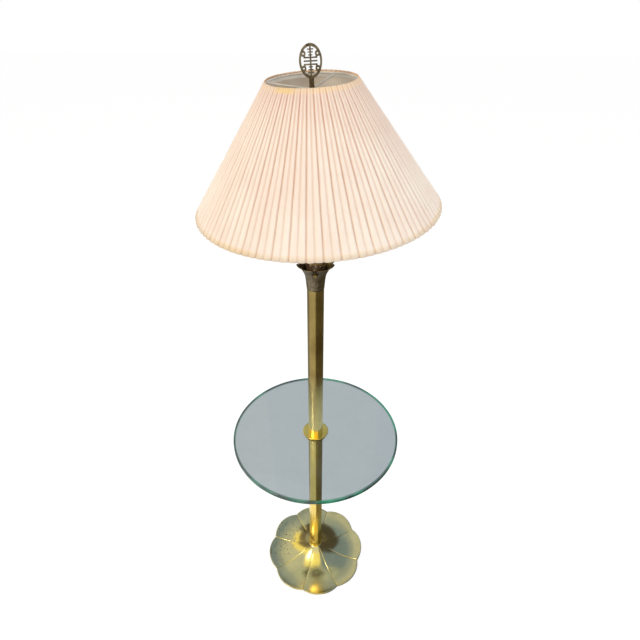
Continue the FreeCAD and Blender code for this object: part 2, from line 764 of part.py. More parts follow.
def rotary_switch():
    """Rotary switch inside the cup: its body with a threaded neck, its nut and its turned knob."""
    block = solid_box("switch_block", "switch_width", "switch_front - switch_back", "switch_height",
                      ("-switch_width / 2", "-switch_front", "knob_level - switch_height / 2"))
    neck = solid_cylinder("switch_neck", "switch_neck_radius", "switch_neck_end - stem_end",
                          ("0", "-stem_end", "knob_level"), FORWARD)
    stem_bore = solid_cylinder("switch_bore", "knob_stem_radius + running_clearance",
                               "switch_neck_end - stem_end",
                               ("0", "-stem_end", "knob_level"), FORWARD)
    keep(cut("switch_body", join("switch_casing", [block, neck]), stem_bore), "switch_body")
    keep(hexagon("switch_nut", "switch_nut_across_flats", "switch_nut_thickness",
                 "switch_neck_radius + running_clearance"),
         "switch_nut", ("0", "-cup_radius", "knob_level"), FORWARD)
    knob = turned("switch_knob", [
        ("0", "stem_end + soft_clearance"), ("knob_stem_radius", "stem_end + soft_clearance"),
        ("knob_stem_radius", "knob_start"), ("knob_waist_radius", "knob_start"),
        ("knob_waist_radius", "knob_start + knob_waist_length"),
        ("knob_radius", "knob_start + knob_flare_end"),
        ("knob_radius", "knob_start + knob_grip_end"),
        ("knob_waist_radius", "knob_start + knob_length"), ("0", "knob_start + knob_length")])
    keep(knob, "switch_knob", ("0", "0", "knob_level"), FORWARD)


# ---------------------------------------------------------------- socket and bulb

def socket():
    """Brass-shell lamp socket: cap, shell, card liner, body, screw shell and centre contact."""
    inside = "socket_radius - socket_wall"
    bore = "pipe_radius + running_clearance"
    collar = "pipe_hole_radius + socket_collar_wall"
    floor = "2 * socket_wall"
    keep(turned("socket_cap", [
        (bore, "0"), ("socket_radius - socket_cap_taper", "0"),
        ("socket_radius", "socket_collar_height"), ("socket_radius", "socket_cap_height"),
        (inside, "socket_cap_height"), (inside, "socket_collar_height + socket_wall"),
        ("socket_radius - socket_cap_taper - socket_wall", floor), (collar, floor),
        (collar, "socket_collar_height"), (bore, "socket_collar_height")]),
        "socket_cap", ("0", "0", "socket_level"))
    keep(ring("socket_shell", "socket_radius", inside, "socket_shell_length"),
         "socket_shell", ("0", "0", "shell_level"))
    keep(ring("socket_liner", "socket_liner_radius", "socket_liner_radius - socket_liner_thickness",
              "socket_shell_length - 2 * socket_liner_setback"),
         "socket_liner", ("0", "0", "shell_level + socket_liner_setback"))
    screw_bore = "bulb_base_radius + loose_clearance"
    screw_outer = "%s + screw_shell_wall" % screw_bore
    well = "%s + loose_clearance" % screw_outer
    rim = "socket_body_height + socket_body_rim"
    keep(turned("socket_body", [
        ("0", "0"), ("socket_body_radius", "0"), ("socket_body_radius", rim), (well, rim),
        (well, "socket_body_height"), ("0", "socket_body_height")]),
        "socket_body", ("0", "0", "socket_body_level"))
    keep(ring("screw_shell", screw_outer, screw_bore, "screw_shell_length"),
         "screw_shell", ("0", "0", "screw_level"))
    keep(turned("centre_contact", [("0", "0"), ("contact_radius", "0"),
                                   ("contact_radius", "contact_thickness"),
                                   ("0", "contact_thickness")]),
         "centre_contact", ("0", "0", "contact_level"))


def bulb():
    """Bulb: a thin glass envelope in its screw base."""
    keep(turned("bulb_base", [
        ("0", "0"), ("contact_radius", "0"), ("bulb_base_radius", "bulb_base_taper"),
        ("bulb_base_radius", "bulb_base_length"),
        ("bulb_base_radius - bulb_base_wall", "bulb_base_length"),
        ("bulb_base_radius - bulb_base_wall", "bulb_base_filling"), ("0", "bulb_base_filling")]),
        "bulb_base", ("0", "0", "bulb_level"))
    neck = number("bulb_base_radius - bulb_base_wall - loose_clearance")
    globe, wall = number("bulb_radius"), number("bulb_wall")
    centre = number("bulb_length") - globe
    start = number("bulb_base_length - bulb_neck_sink")
    straight = number("bulb_neck_straight")
    flank_angle = math.radians(number("bulb_flank_angle"))

    def envelope(inset):
        """Foot, neck, flank, side and crown of the glass, drawn in by its wall."""
        radius = globe - inset
        across, up = radius * math.cos(flank_angle), radius * math.sin(flank_angle)
        return [Vector(neck - inset, 0, start), Vector(neck - inset, 0, start + straight),
                Vector(across, 0, centre - up), Vector(across, 0, centre + up),
                Vector(0, 0, centre + radius)]

    def line(first, last):
        return Part.LineSegment(first, last).toShape()

    outer, inner = envelope(0.0), envelope(wall)
    outline = Part.Wire([
        line(outer[0], outer[1]), line(outer[1], outer[2]), Part.Arc(*outer[2:]).toShape(),
        line(outer[4], inner[4]), Part.Arc(*inner[:1:-1]).toShape(),
        line(inner[2], inner[1]), line(inner[1], inner[0]), line(inner[0], outer[0])])
    keep(free_form("bulb_glass", Part.Face(outline).revolve(Vector(), Vector(0, 0, 1), 360)),
         "bulb_glass", ("0", "0", "bulb_level"))


# ---------------------------------------------------------------- harp

def harp():
    """Saddle under the socket, the bent wire, its two locking sleeves and the seat with its stud."""
    shapes = [ring("saddle_plate", "saddle_radius", "pipe_hole_radius", "saddle_thickness")]
    strip_start = "saddle_radius - saddle_lap"
    strip_end = "harp_foot_spread + harp_wire_radius"
    foot = "%s - (%s)" % (strip_end, strip_start)
    for side, name in ((1, "right"), (-1, "left")):
        start = strip_start if side > 0 else "-(%s)" % strip_end
        shapes.append(solid_box("saddle_strip_" + name, foot, "saddle_width", "saddle_thickness",
                                (start, "-saddle_width / 2", "0")))
        shapes.append(solid_cylinder(
            "saddle_pin_" + name, "harp_wire_radius", "saddle_arm_height - saddle_thickness / 2",
            ORIGIN, HARP_TURN, ("%d * harp_foot_spread" % side, "0", "saddle_thickness / 2")))
    keep(join("harp_saddle", shapes), "harp_saddle", ("0", "0", "saddle_level"))

    top = "harp_height - harp_top_drop"
    half = [("harp_foot_spread", "saddle_arm_height"), ("harp_foot_spread", "harp_foot_straight"),
            ("harp_spread", "harp_belly_level"), ("harp_spread", "harp_shoulder_level"),
            ("harp_top_spread", top)]
    right = [Vector(number(across), 0, number(up)) for across, up in half]
    left = [Vector(-point.x, 0, point.z) for point in right]
    keep(free_form("harp_wire", bent_wire(
        left + right[::-1], number("harp_wire_radius"), number("harp_bend_share"))),
         "harp_wire", HARP_BASE, HARP_TURN)

    for side, name in ((1, "harp_sleeve_right"), (-1, "harp_sleeve_left")):
        sleeve = turned(name, [
            ("sleeve_bore", "sleeve_rest_level"),
            ("sleeve_bore + sleeve_wall", "sleeve_rest_level"),
            ("sleeve_bore + sleeve_wall", "sleeve_rest_level + sleeve_length"),
            ("sleeve_bore", "sleeve_rest_level + sleeve_length")])
        keep(sleeve, name, HARP_BASE, HARP_TURN, ("%d * harp_foot_spread" % side, "0", "0"))

    seat = turned("seat_block", [
        ("0", "-seat_height"), ("seat_radius", "-seat_height"), ("seat_radius", "0"),
        ("stud_radius", "0"), ("stud_radius", "stud_length"), ("0", "stud_length")])
    eye = solid_cylinder("seat_eye", "harp_wire_radius + 2 * soft_clearance", "4 * seat_radius",
                         ("-2 * seat_radius", "0", "-harp_top_drop"), [(("0", "1", "0"), "90")])
    keep(cut("harp_stud", seat, eye), "harp_stud", SHADE_BASE, SHADE_TURN)


# ---------------------------------------------------------------- shade

def pleated_outline(radius, depth, level):
    """Closed outline of the knife pleats round the shade at one level."""
    count = round(number("pleat_count"))
    pitch = 2 * math.pi / count
    face = number("pleat_face_share")
    corners = []
    for index in range(count):
        for share, reach in ((0.0, radius), (face, radius - depth)):
            angle = pitch * (index + share)
            corners.append(Vector(reach * math.cos(angle), reach * math.sin(angle), level))
    return Part.makePolygon(corners + corners[:1])


def pleats():
    """Pleated cloth of the shade, folded from rim to rim."""
    top, bottom = number("shade_top_level"), number("shade_bottom_level")
    walls = []
    for inset in (0.0, number("pleat_cloth")):
        walls.append(Part.makeLoft([
            pleated_outline(number("shade_bottom_radius") - inset, number("pleat_bottom_depth"), bottom),
            pleated_outline(number("shade_top_radius") - inset, number("pleat_top_depth"), top)],
            True, True))
    keep(free_form("shade_pleats", walls[0].cut(walls[1])), "shade_pleats", SHADE_BASE, SHADE_TURN)


def conical_band(name, low, high, low_radius, high_radius, thickness):
    """A thin conical band between two levels of the shade, with its outer radii."""
    return turned(name, [
        ("%s - %s" % (low_radius, thickness), low), (low_radius, low), (high_radius, high),
        ("%s - %s" % (high_radius, thickness), high)])


def shade():
    """Stiff liner, tapes over the two rings, the spider that carries them, and the pleats."""
    keep(conical_band("shade_liner", "shade_bottom_level", "shade_top_level",
                      "liner_bottom_radius", "liner_top_radius", "liner_thickness"),
         "shade_liner", SHADE_BASE, SHADE_TURN)
    inset = "liner_thickness + soft_clearance"
    keep(conical_band("shade_top_tape", "shade_top_level - tape_width", "shade_top_level",
                      "liner_top_radius + shade_slope * tape_width - (%s)" % inset,
                      "liner_top_radius - (%s)" % inset, "tape_thickness"),
         "shade_top_tape", SHADE_BASE, SHADE_TURN)
    keep(conical_band("shade_bottom_tape", "shade_bottom_level", "shade_bottom_level + tape_width",
                      "liner_bottom_radius - (%s)" % inset,
                      "liner_bottom_radius - shade_slope * tape_width - (%s)" % inset,
                      "tape_thickness"),
         "shade_bottom_tape", SHADE_BASE, SHADE_TURN)
    bottom_ring = document.addObject("Part::Torus", "bottom_ring_wire")
    bind(bottom_ring, Radius1="bottom_ring_radius", Radius2="ring_wire_radius")
    place(bottom_ring, ("0", "0", "bottom_ring_level"))
    keep(join_one("shade_bottom_ring", bottom_ring), "shade_bottom_ring", SHADE_BASE, SHADE_TURN)

    hub = ring("spider_hub", "hub_radius", "stud_bore", "hub_thickness")
    top_ring = document.addObject("Part::Torus", "top_ring_wire")
    bind(top_ring, Radius1="top_ring_radius", Radius2="ring_wire_radius")
    place(top_ring, ("0", "0", "top_ring_level"))
    shapes = [hub, top_ring]
    start = "(hub_radius - arm_radius)"
    low = "(arm_radius + loose_clearance)"
    rise = "(top_ring_level - %s)" % low
    run = "(top_ring_radius - %s)" % start
    for index in range(round(number("arm_count"))):
        azimuth = "(arm_azimuth + %d * 360 / arm_count)" % index
        shapes.append(solid_cylinder(
            "spider_arm_%d" % (index + 1), "arm_radius", "sqrt(%s^2 + %s^2)" % (run, rise),
            ("%s * cos%s" % (start, azimuth), "%s * sin%s" % (start, azimuth), low),
            [(("0", "0", "1"), azimuth), (("0", "1", "0"), "atan(%s / %s)" % (run, rise))]))
    keep(join("shade_spider", shapes), "shade_spider", SHADE_BASE, SHADE_TURN)
    pleats()


# ---------------------------------------------------------------- finial

def finial():
    """Finial that screws down on the hub: turned neck and an openwork oval medallion."""
    neck_top = "medallion_level"
    bore_end = "stud_length + loose_clearance"
    stem = turned("finial_neck", [
        ("stud_bore", "finial_foot_level"), ("finial_collar_radius", "finial_foot_level"),
        ("finial_collar_radius", "finial_collar_top"), ("finial_bead_radius", "finial_collar_top"),
        ("finial_bead_radius", "finial_neck_level"), ("finial_neck_radius", "finial_neck_level"),
        ("finial_neck_radius", neck_top), ("0", neck_top), ("0", bore_end), ("stud_bore", bore_end)])
    keep(stem, "finial_neck", SHADE_BASE, SHADE_TURN)


def oval(name, width, height, thickness):
    """An upright oval plate centred on its own origin, as thick as given along Y."""
    curve = document.addObject("Part::Ellipse", name + "_curve")
    bind(curve, MajorRadius="(%s) / 2" % height, MinorRadius="(%s) / 2" % width)
    place(curve, ("0", "(%s) / 2" % thickness, "0"),
          [(("0", "1", "0"), "90"), (("1", "0", "0"), "90")])
    plate = document.addObject("Part::Extrusion", name)
    plate.Base = curve
    plate.DirMode = "Custom"
    plate.Dir = Vector(0, -1, 0)
    plate.Solid = True
    bind(plate, LengthFwd=thickness)
    return plate


def fret_box(name, width, height, x, z):
    """A bar of the fretwork centred on (x, z)."""
    return solid_box(name, width, "medallion_thickness", height,
                     ("%s - (%s) / 2" % (x, width), "-medallion_thickness / 2",
                      "%s - (%s) / 2" % (z, height)))


def medallion():
    """Oval fretwork: border, spine with ribs, three cross bars and four pierced bosses."""
    inner_width = "medallion_width - 2 * medallion_border"
    border = cut("medallion_rim", oval("rim_outer", "medallion_width", "medallion_height",
                                       "medallion_thickness"),
                 oval("rim_inner", inner_width, "medallion_height - 2 * medallion_crown_border",
                      "medallion_thickness"))
    bars = [fret_box("fret_spine_bar", "fret_spine", "medallion_height - medallion_border", "0", "0"),
            fret_box("fret_middle", "fret_bar_length", "fret_bar", "0", "0")]
    for side, name in ((1, "upper"), (-1, "lower")):
        bars.append(fret_box("fret_bar_" + name, "fret_bar_length", "fret_bar", "0",
                             "%d * fret_window_level" % side))
        for index in range(round(number("fret_rib_count"))):
            level = "%d * (fret_rib_start + %d * fret_rib_pitch)" % (side, index)
            length = "fret_rib_length + %d * fret_rib_growth" % index
            bars.append(fret_box("fret_rib_%s_%d" % (name, index + 1), length, "fret_rib", "0", level))
    bosses, holes = [], []
    link_height = "fret_boss_up - fret_window_level"
    for across, up in ((1, 1), (-1, 1), (-1, -1), (1, -1)):
        name = "fret_boss_%d" % (len(bosses) + 1)
        centre = ("%d * fret_boss_across" % across, "medallion_thickness / 2", "%d * fret_boss_up" % up)
        bosses.append(solid_cylinder(name, "fret_boss_radius", "medallion_thickness", centre, FORWARD))
        holes.append(solid_cylinder(name + "_hole", "fret_boss_hole_radius", "medallion_thickness",
                                    centre, FORWARD))
        bars.append(fret_box(name + "_link", "fret_link_width", link_height,
                             "%d * (fret_bar_length - fret_link_width) / 2" % across,
                             "%d * (fret_boss_up + fret_window_level) / 2" % up))
    foot = fret_box("fret_foot", "fret_foot_width", "medallion_border", "0",
                    "(medallion_border - medallion_height) / 2")
    fretwork = join("fretwork", [border, foot] + bosses + bars)
    keep(cut("finial_medallion", fretwork, join("boss_holes", holes)), "finial_medallion",
         SHADE_BASE, SHADE_TURN, ("0", "0", "medallion_level + medallion_height / 2"))


# ---------------------------------------------------------------- the lamp

for build in (base_felt, base_weight, cord_bushing, base_fasteners, base_dish, column_foot,
              column_tubes, clamping_pipe, glass_table, capital, switch_cup, rotary_switch,
              socket, bulb, harp, shade, finial, medallion):
    build()
document.recompute()

broken = [item.Label for item in document.Objects
          if "Invalid" in item.State or "Error" in item.State]
if broken:
    raise RuntimeError("features that failed: " + ", ".join(broken))
for item in nodes:
    shape = item.Shape
    if shape.isNull() or not shape.isValid():
        raise RuntimeError(item.Label + " is empty or not valid")
    if len(shape.Solids) != 1:
        raise RuntimeError("%s has %d solids" % (item.Label, len(shape.Solids)))

os.makedirs("parts", exist_ok=True)
for item in nodes:
    item.Shape.exportStep(os.path.join("parts", item.Label + ".step"))
    bounds = item.Shape.BoundBox
    print("%-20s %10.1f mm3   z %8.2f to %8.2f" % (
        item.Label, item.Shape.Volume, bounds.ZMin, bounds.ZMax))
print(len(nodes), "pieces")
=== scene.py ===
"""Floor lamp with a round glass table: its dressed pieces, its finishes, its stage and its camera.

Lengths are millimetres in the sizes and metres in the meshes. +Z is up, the origin is the middle of
the foot on the floor, and the front, where the switch knob is, looks along -Y.
"""

import logging
import math
from contextlib import contextmanager
from dataclasses import dataclass
from enum import Enum
from typing import ClassVar, Iterator, Sequence

import bmesh
import bpy
from mathutils import Matrix, Vector

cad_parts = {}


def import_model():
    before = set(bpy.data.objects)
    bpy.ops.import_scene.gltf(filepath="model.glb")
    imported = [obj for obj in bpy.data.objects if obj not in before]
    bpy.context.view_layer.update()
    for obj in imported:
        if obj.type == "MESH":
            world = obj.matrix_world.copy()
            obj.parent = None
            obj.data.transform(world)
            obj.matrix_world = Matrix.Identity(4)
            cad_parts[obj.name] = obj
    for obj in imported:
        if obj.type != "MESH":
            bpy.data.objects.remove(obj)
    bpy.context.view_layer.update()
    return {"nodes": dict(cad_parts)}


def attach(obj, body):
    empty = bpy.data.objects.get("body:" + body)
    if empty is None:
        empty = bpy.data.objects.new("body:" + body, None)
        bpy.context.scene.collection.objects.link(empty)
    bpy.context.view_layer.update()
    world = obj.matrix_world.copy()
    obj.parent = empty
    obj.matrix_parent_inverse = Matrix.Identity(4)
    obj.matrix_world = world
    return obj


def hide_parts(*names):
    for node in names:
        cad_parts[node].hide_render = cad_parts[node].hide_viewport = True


log = logging.getLogger("floor_lamp")

MM = 0.001
FOLD_MAP = "Fold"
WHITE = "ffffff"

Pair = tuple[float, float]
Triple = tuple[float, float, float]
Rgba = tuple[float, float, float, float]
Tree = bpy.types.NodeTree
Node = bpy.types.Node
Output = bpy.types.NodeSocket
Material = bpy.types.Material
Mesh = bpy.types.Mesh
Piece = bpy.types.Object


# ---------------------------------------------------------------- colours, nodes and meshes

def linear(hex_colour: str) -> Rgba:
    """Turns an sRGB hex colour into linear values.

    Args:
        hex_colour: six hex digits.

    Returns:
        Linear red, green and blue, and an alpha of 1.
    """
    shares = [int(hex_colour[i:i + 2], 16) / 255 for i in (0, 2, 4)]
    red, green, blue = (s / 12.92 if s <= 0.04045 else ((s + 0.055) / 1.055) ** 2.4 for s in shares)
    return red, green, blue, 1.0


def metres(values: Sequence[float]) -> tuple[float, ...]:
    """Turns millimetres into metres."""
    return tuple(value * MM for value in values)


def round_point(radius: float, swing: float, level: float) -> Triple:
    """The point at a radius, an angle in radians from +X, and a level."""
    return radius * math.cos(swing), radius * math.sin(swing), level


def node(tree: Tree, kind: str, inputs: dict | None = None, **settings: object) -> Node:
    """Adds a node with its settings and links.

    Args:
        tree: the tree that gets the node.
        kind: Blender's name for the kind of node.
        inputs: a value, or an output socket to link, for each input by its name or number.
        settings: the node's own settings by name.

    Returns:
        The new node.
    """
    made = tree.nodes.new(kind)
    for name, value in settings.items():
        setattr(made, name, value)
    for name, value in (inputs or {}).items():
        if isinstance(value, Output):
            tree.links.new(value, made.inputs[name])
        else:
            made.inputs[name].default_value = value
    return made


def maths(tree: Tree, operation: str, *values: Output | float, **settings: object) -> Output:
    """The result of one step of arithmetic in a node tree."""
    return node(tree, "ShaderNodeMath", dict(enumerate(values)), operation=operation,
                **settings).outputs[0]


def new_piece(name: str, mesh: Mesh) -> Piece:
    """Puts a mesh into the scene as an object at the origin.

    Args:
        name: the piece's name.
        mesh: its mesh, in the frame's metres.

    Returns:
        The object.
    """
    piece = bpy.data.objects.new(name, mesh)
    bpy.context.scene.collection.objects.link(piece)
    return piece


def smooth(mesh: Mesh) -> None:
    """Shades every face of a mesh smooth."""
    mesh.polygons.foreach_set("use_smooth", [True] * len(mesh.polygons))


def mesh_piece(name: str, points: Sequence[Triple], faces: Sequence[Sequence[int]],
               places: Sequence[Pair] = (), turns: Sequence[Pair] = ()) -> Piece:
    """Makes a smooth piece from points in millimetres.

    Args:
        name: the piece's name.
        points: its corners in millimetres.
        faces: each face's corner numbers.
        places: each corner's place on the cloth or sheet, in metres, for a UV map.
        turns: each corner's place in its fold and from rim to rim, as shares, for a second map.

    Returns:
        The piece.
    """
    mesh = bpy.data.meshes.new(name)
    mesh.from_pydata([Vector(point) * MM for point in points], [], faces)
    for map_name, spots in (("UVMap", places), (FOLD_MAP, turns)):
        if spots:
            layer = mesh.uv_layers.new(name=map_name)
            for loop in mesh.loops:
                layer.data[loop.index].uv = spots[loop.vertex_index]
    smooth(mesh)
    mesh.update()
    return new_piece(name, mesh)


def grid_faces(rows: int, columns: int, close_rows: bool = False) -> list[tuple[int, ...]]:
    """Numbers the faces of a grid of points that is stored row after row.

    Args:
        rows: how many rows of points there are.
        columns: how many points a row has.
        close_rows: whether the last row joins the first.

    Returns:
        Four corner numbers for each face.
    """
    faces = []
    for row in range(rows if close_rows else rows - 1):
        here, after = row * columns, (row + 1) % rows * columns
        faces += [(here + column, here + column + 1, after + column + 1, after + column)
                  for column in range(columns - 1)]
    return faces


@contextmanager
def editing(mesh: Mesh) -> Iterator[bmesh.types.BMesh]:
    """Opens a mesh for edits and keeps them in it.

    Args:
        mesh: the mesh that is edited.

    Yields:
        The mesh in a form that takes edits.
    """
    work = bmesh.new()
    work.from_mesh(mesh)
    yield work
    work.to_mesh(mesh)
    work.free()


def settle(piece: Piece, merge_mm: float = 0.0) -> Piece:
    """Turns a piece's modifiers into plain mesh and makes its faces look outwards.

    Args:
        piece: the object whose modifiers are taken in.
        merge_mm: how near two corners are, in millimetres, to become one. 0 leaves them.

    Returns:
        The same object, without modifiers.
    """
    bpy.context.view_layer.update()
    graph = bpy.context.evaluated_depsgraph_get()
    mesh = bpy.data.meshes.new_from_object(piece.evaluated_get(graph))
    piece.modifiers.clear()
    piece.data = mesh
    with editing(mesh) as work:
        if merge_mm:
            bmesh.ops.remove_doubles(work, verts=work.verts, dist=merge_mm * MM)
        bmesh.ops.recalc_face_normals(work, faces=work.faces)
    return piece


def modify(piece: Piece, kind: str, **settings: object) -> Piece:
    """Shapes a piece by one modifier and gives it back as plain mesh.

    Args:
        piece: the object that is shaped.
        kind: Blender's name for the kind of modifier.
        settings: the modifier's own settings by name.

    Returns:
        The same object, without the modifier.
    """
    modifier = piece.modifiers.new(kind, kind)
    for name, value in settings.items():
        setattr(modifier, name, value)
    return settle(piece)


def thicken(piece: Piece, wall_mm: float) -> Piece:
    """Gives an open skin, whose faces look outwards, a wall on its inner side."""
    return modify(piece, "SOLIDIFY", thickness=wall_mm * MM, offset=-1.0, use_even_offset=True)


def softened_copy(name: str, source: Piece, width_mm: float) -> Piece:
    """Copies a rigid solid with its sharp edges rounded.

    Args:
        name: the new piece's name.
        source: the solid, which is left as it is.
        width_mm: how wide the rounding is, in millimetres.

    Returns:
        The copy.
    """
    flat_angle, sharp_angle, same_place = math.radians(1.0), math.radians(35), 1e-6
    mesh = source.data.copy()
    mesh.name = name
    with editing(mesh) as work:
        bmesh.ops.remove_doubles(work, verts=work.verts, dist=same_place)
        bmesh.ops.dissolve_limit(work, angle_limit=flat_angle, verts=work.verts, edges=work.edges)
    piece = modify(new_piece(name, mesh), "BEVEL", width=width_mm * MM, segments=2,
                   limit_method="ANGLE", angle_limit=sharp_angle)
    smooth(piece.data)
    return piece


def drilled(piece: Piece, radius_mm: float, start: Triple, reach: Triple) -> Piece:
    """Bores a round hole through a closed piece.

    Args:
        piece: the closed piece.
        radius_mm: the hole's radius in millimetres.
        start: where the bore's axis starts, in millimetres.
        reach: the way that it goes and its length, in millimetres.

    Returns:
        The same object with its hole.
    """
    axis, radius, sides = Vector(reach), radius_mm * MM, 48
    turn = axis.to_track_quat("Z", "Y").to_matrix().to_4x4()
    middle = (Vector(start) + axis / 2) * MM
    mesh = bpy.data.meshes.new("bore")
    with editing(mesh) as work:
        bmesh.ops.create_cone(work, cap_ends=True, segments=sides, radius1=radius, radius2=radius,
                              depth=axis.length * MM)
        bmesh.ops.transform(work, matrix=Matrix.Translation(middle) @ turn, verts=work.verts)
    bore = new_piece("bore", mesh)
    modify(piece, "BOOLEAN", object=bore, operation="DIFFERENCE", solver="EXACT")
    bpy.data.objects.remove(bore)
    return piece


@dataclass(frozen=True)
class Lean:
    """A frame that stands on a point and leans towards an azimuth."""

    base: Triple
    lean: float
    azimuth: float

    def matrix(self) -> Matrix:
        """Works out where the frame stands and how it leans.

        Returns:
            The frame's matrix, in metres.
        """
        swing = math.radians(self.azimuth)
        axis = Vector((-math.sin(swing), math.cos(swing), 0))
        turn = Matrix.Rotation(math.radians(self.lean), 4, axis)
        return Matrix.Translation(Vector(self.base) * MM) @ turn


# ---------------------------------------------------------------- repeats round an axis

@dataclass(frozen=True)
class RoundRepeat:
    """Geometry Nodes that set copies of a piece round +Z, join them and ripple the result."""

    count: int
    merge_mm: float = 0.02
    ripple_mm: float = 0.0
    ripple_size_mm: float = 60.0
    seed: int = 7

    def tree(self) -> Tree:
        """Builds the node tree with a named input for each size.

        Returns:
            The tree, which ends in Realize Instances, the joining and Set Material.
        """
        tree = bpy.data.node_groups.new("round_repeat", "GeometryNodeTree")

        def add(kind: str, inputs: dict | None = None, **settings: object) -> Output:
            """Adds a node to this tree and gives its first output."""
            return node(tree, kind, inputs, **settings).outputs[0]

        sockets = {"Piece": "Geometry", "Count": "Int", "Merge distance": "Float",
                   "Ripple": "Float", "Ripple size": "Float", "Seed": "Int", "Finish": "Material"}
        for name, kind in sockets.items():
            tree.interface.new_socket(name=name, in_out="INPUT", socket_type=f"NodeSocket{kind}")
        tree.interface.new_socket(name="Whole", in_out="OUTPUT", socket_type="NodeSocketGeometry")
        given = node(tree, "NodeGroupInput").outputs
        spots = add("GeometryNodePoints", {"Count": given["Count"]})
        step = maths(tree, "DIVIDE", math.tau, given["Count"])
        turn = maths(tree, "MULTIPLY", add("GeometryNodeInputIndex"), step)
        rotation = add("FunctionNodeEulerToRotation", {0: add("ShaderNodeCombineXYZ", {"Z": turn})})
        copies = add("GeometryNodeInstanceOnPoints",
                     {"Points": spots, "Instance": given["Piece"], "Rotation": rotation})
        whole = add("GeometryNodeRealizeInstances", {"Geometry": copies})
        joined = add("GeometryNodeMergeByDistance",
                     {"Geometry": whole, "Distance": given["Merge distance"]})
        fineness = maths(tree, "DIVIDE", 1.0, given["Ripple size"])
        noise = node(tree, "ShaderNodeTexNoise",
                     {"Vector": add("GeometryNodeInputPosition"), "W": given["Seed"],
                      "Scale": fineness, "Detail": 2.0}, noise_dimensions="4D").outputs["Color"]
        middle = add("ShaderNodeVectorMath", {0: noise, 1: (0.5, 0.5, 0.5)}, operation="SUBTRACT")
        shift = add("ShaderNodeVectorMath", {0: middle, "Scale": given["Ripple"]},
                    operation="SCALE")
        rippled = add("GeometryNodeSetPosition", {"Geometry": joined, "Offset": shift})
        finished = add("GeometryNodeSetMaterial",
                       {"Geometry": rippled, "Material": given["Finish"]})
        node(tree, "NodeGroupOutput", {0: finished})
        return tree

    def apply(self, piece: Piece, finish: Material) -> Piece:
        """Repeats a piece and leaves plain mesh.

        Args:
            piece: the object that holds one share of the whole.
            finish: the material that the whole gets.

        Returns:
            The same object with the whole as its mesh.
        """
        tree = self.tree()
        given = {"Count": self.count, "Merge distance": self.merge_mm * MM,
                 "Ripple": self.ripple_mm * MM, "Ripple size": self.ripple_size_mm * MM,
                 "Seed": self.seed, "Finish": finish}
        modifier = piece.modifiers.new("repeat", "NODES")
        modifier.node_group = tree
        for item in tree.interface.items_tree:
            if item.in_out == "INPUT" and item.name in given:
                modifier[item.identifier] = given[item.name]
        settle(piece)
        bpy.data.node_groups.remove(tree)
        return piece


# ---------------------------------------------------------------- finishes

class Pattern(Enum):
    """What a finish's pattern follows."""

    OBJECT = "Object"
    SHEET = "UV"


class Grain(Enum):
    """How a metal's surface was worked, as the stretch of its scratches along X, Y and Z."""

    CAST = (1.0, 1.0, 1.0)
    DRAWN = (1.0, 1.0, 0.03)
    TURNED = (0.06, 0.06, 1.0)


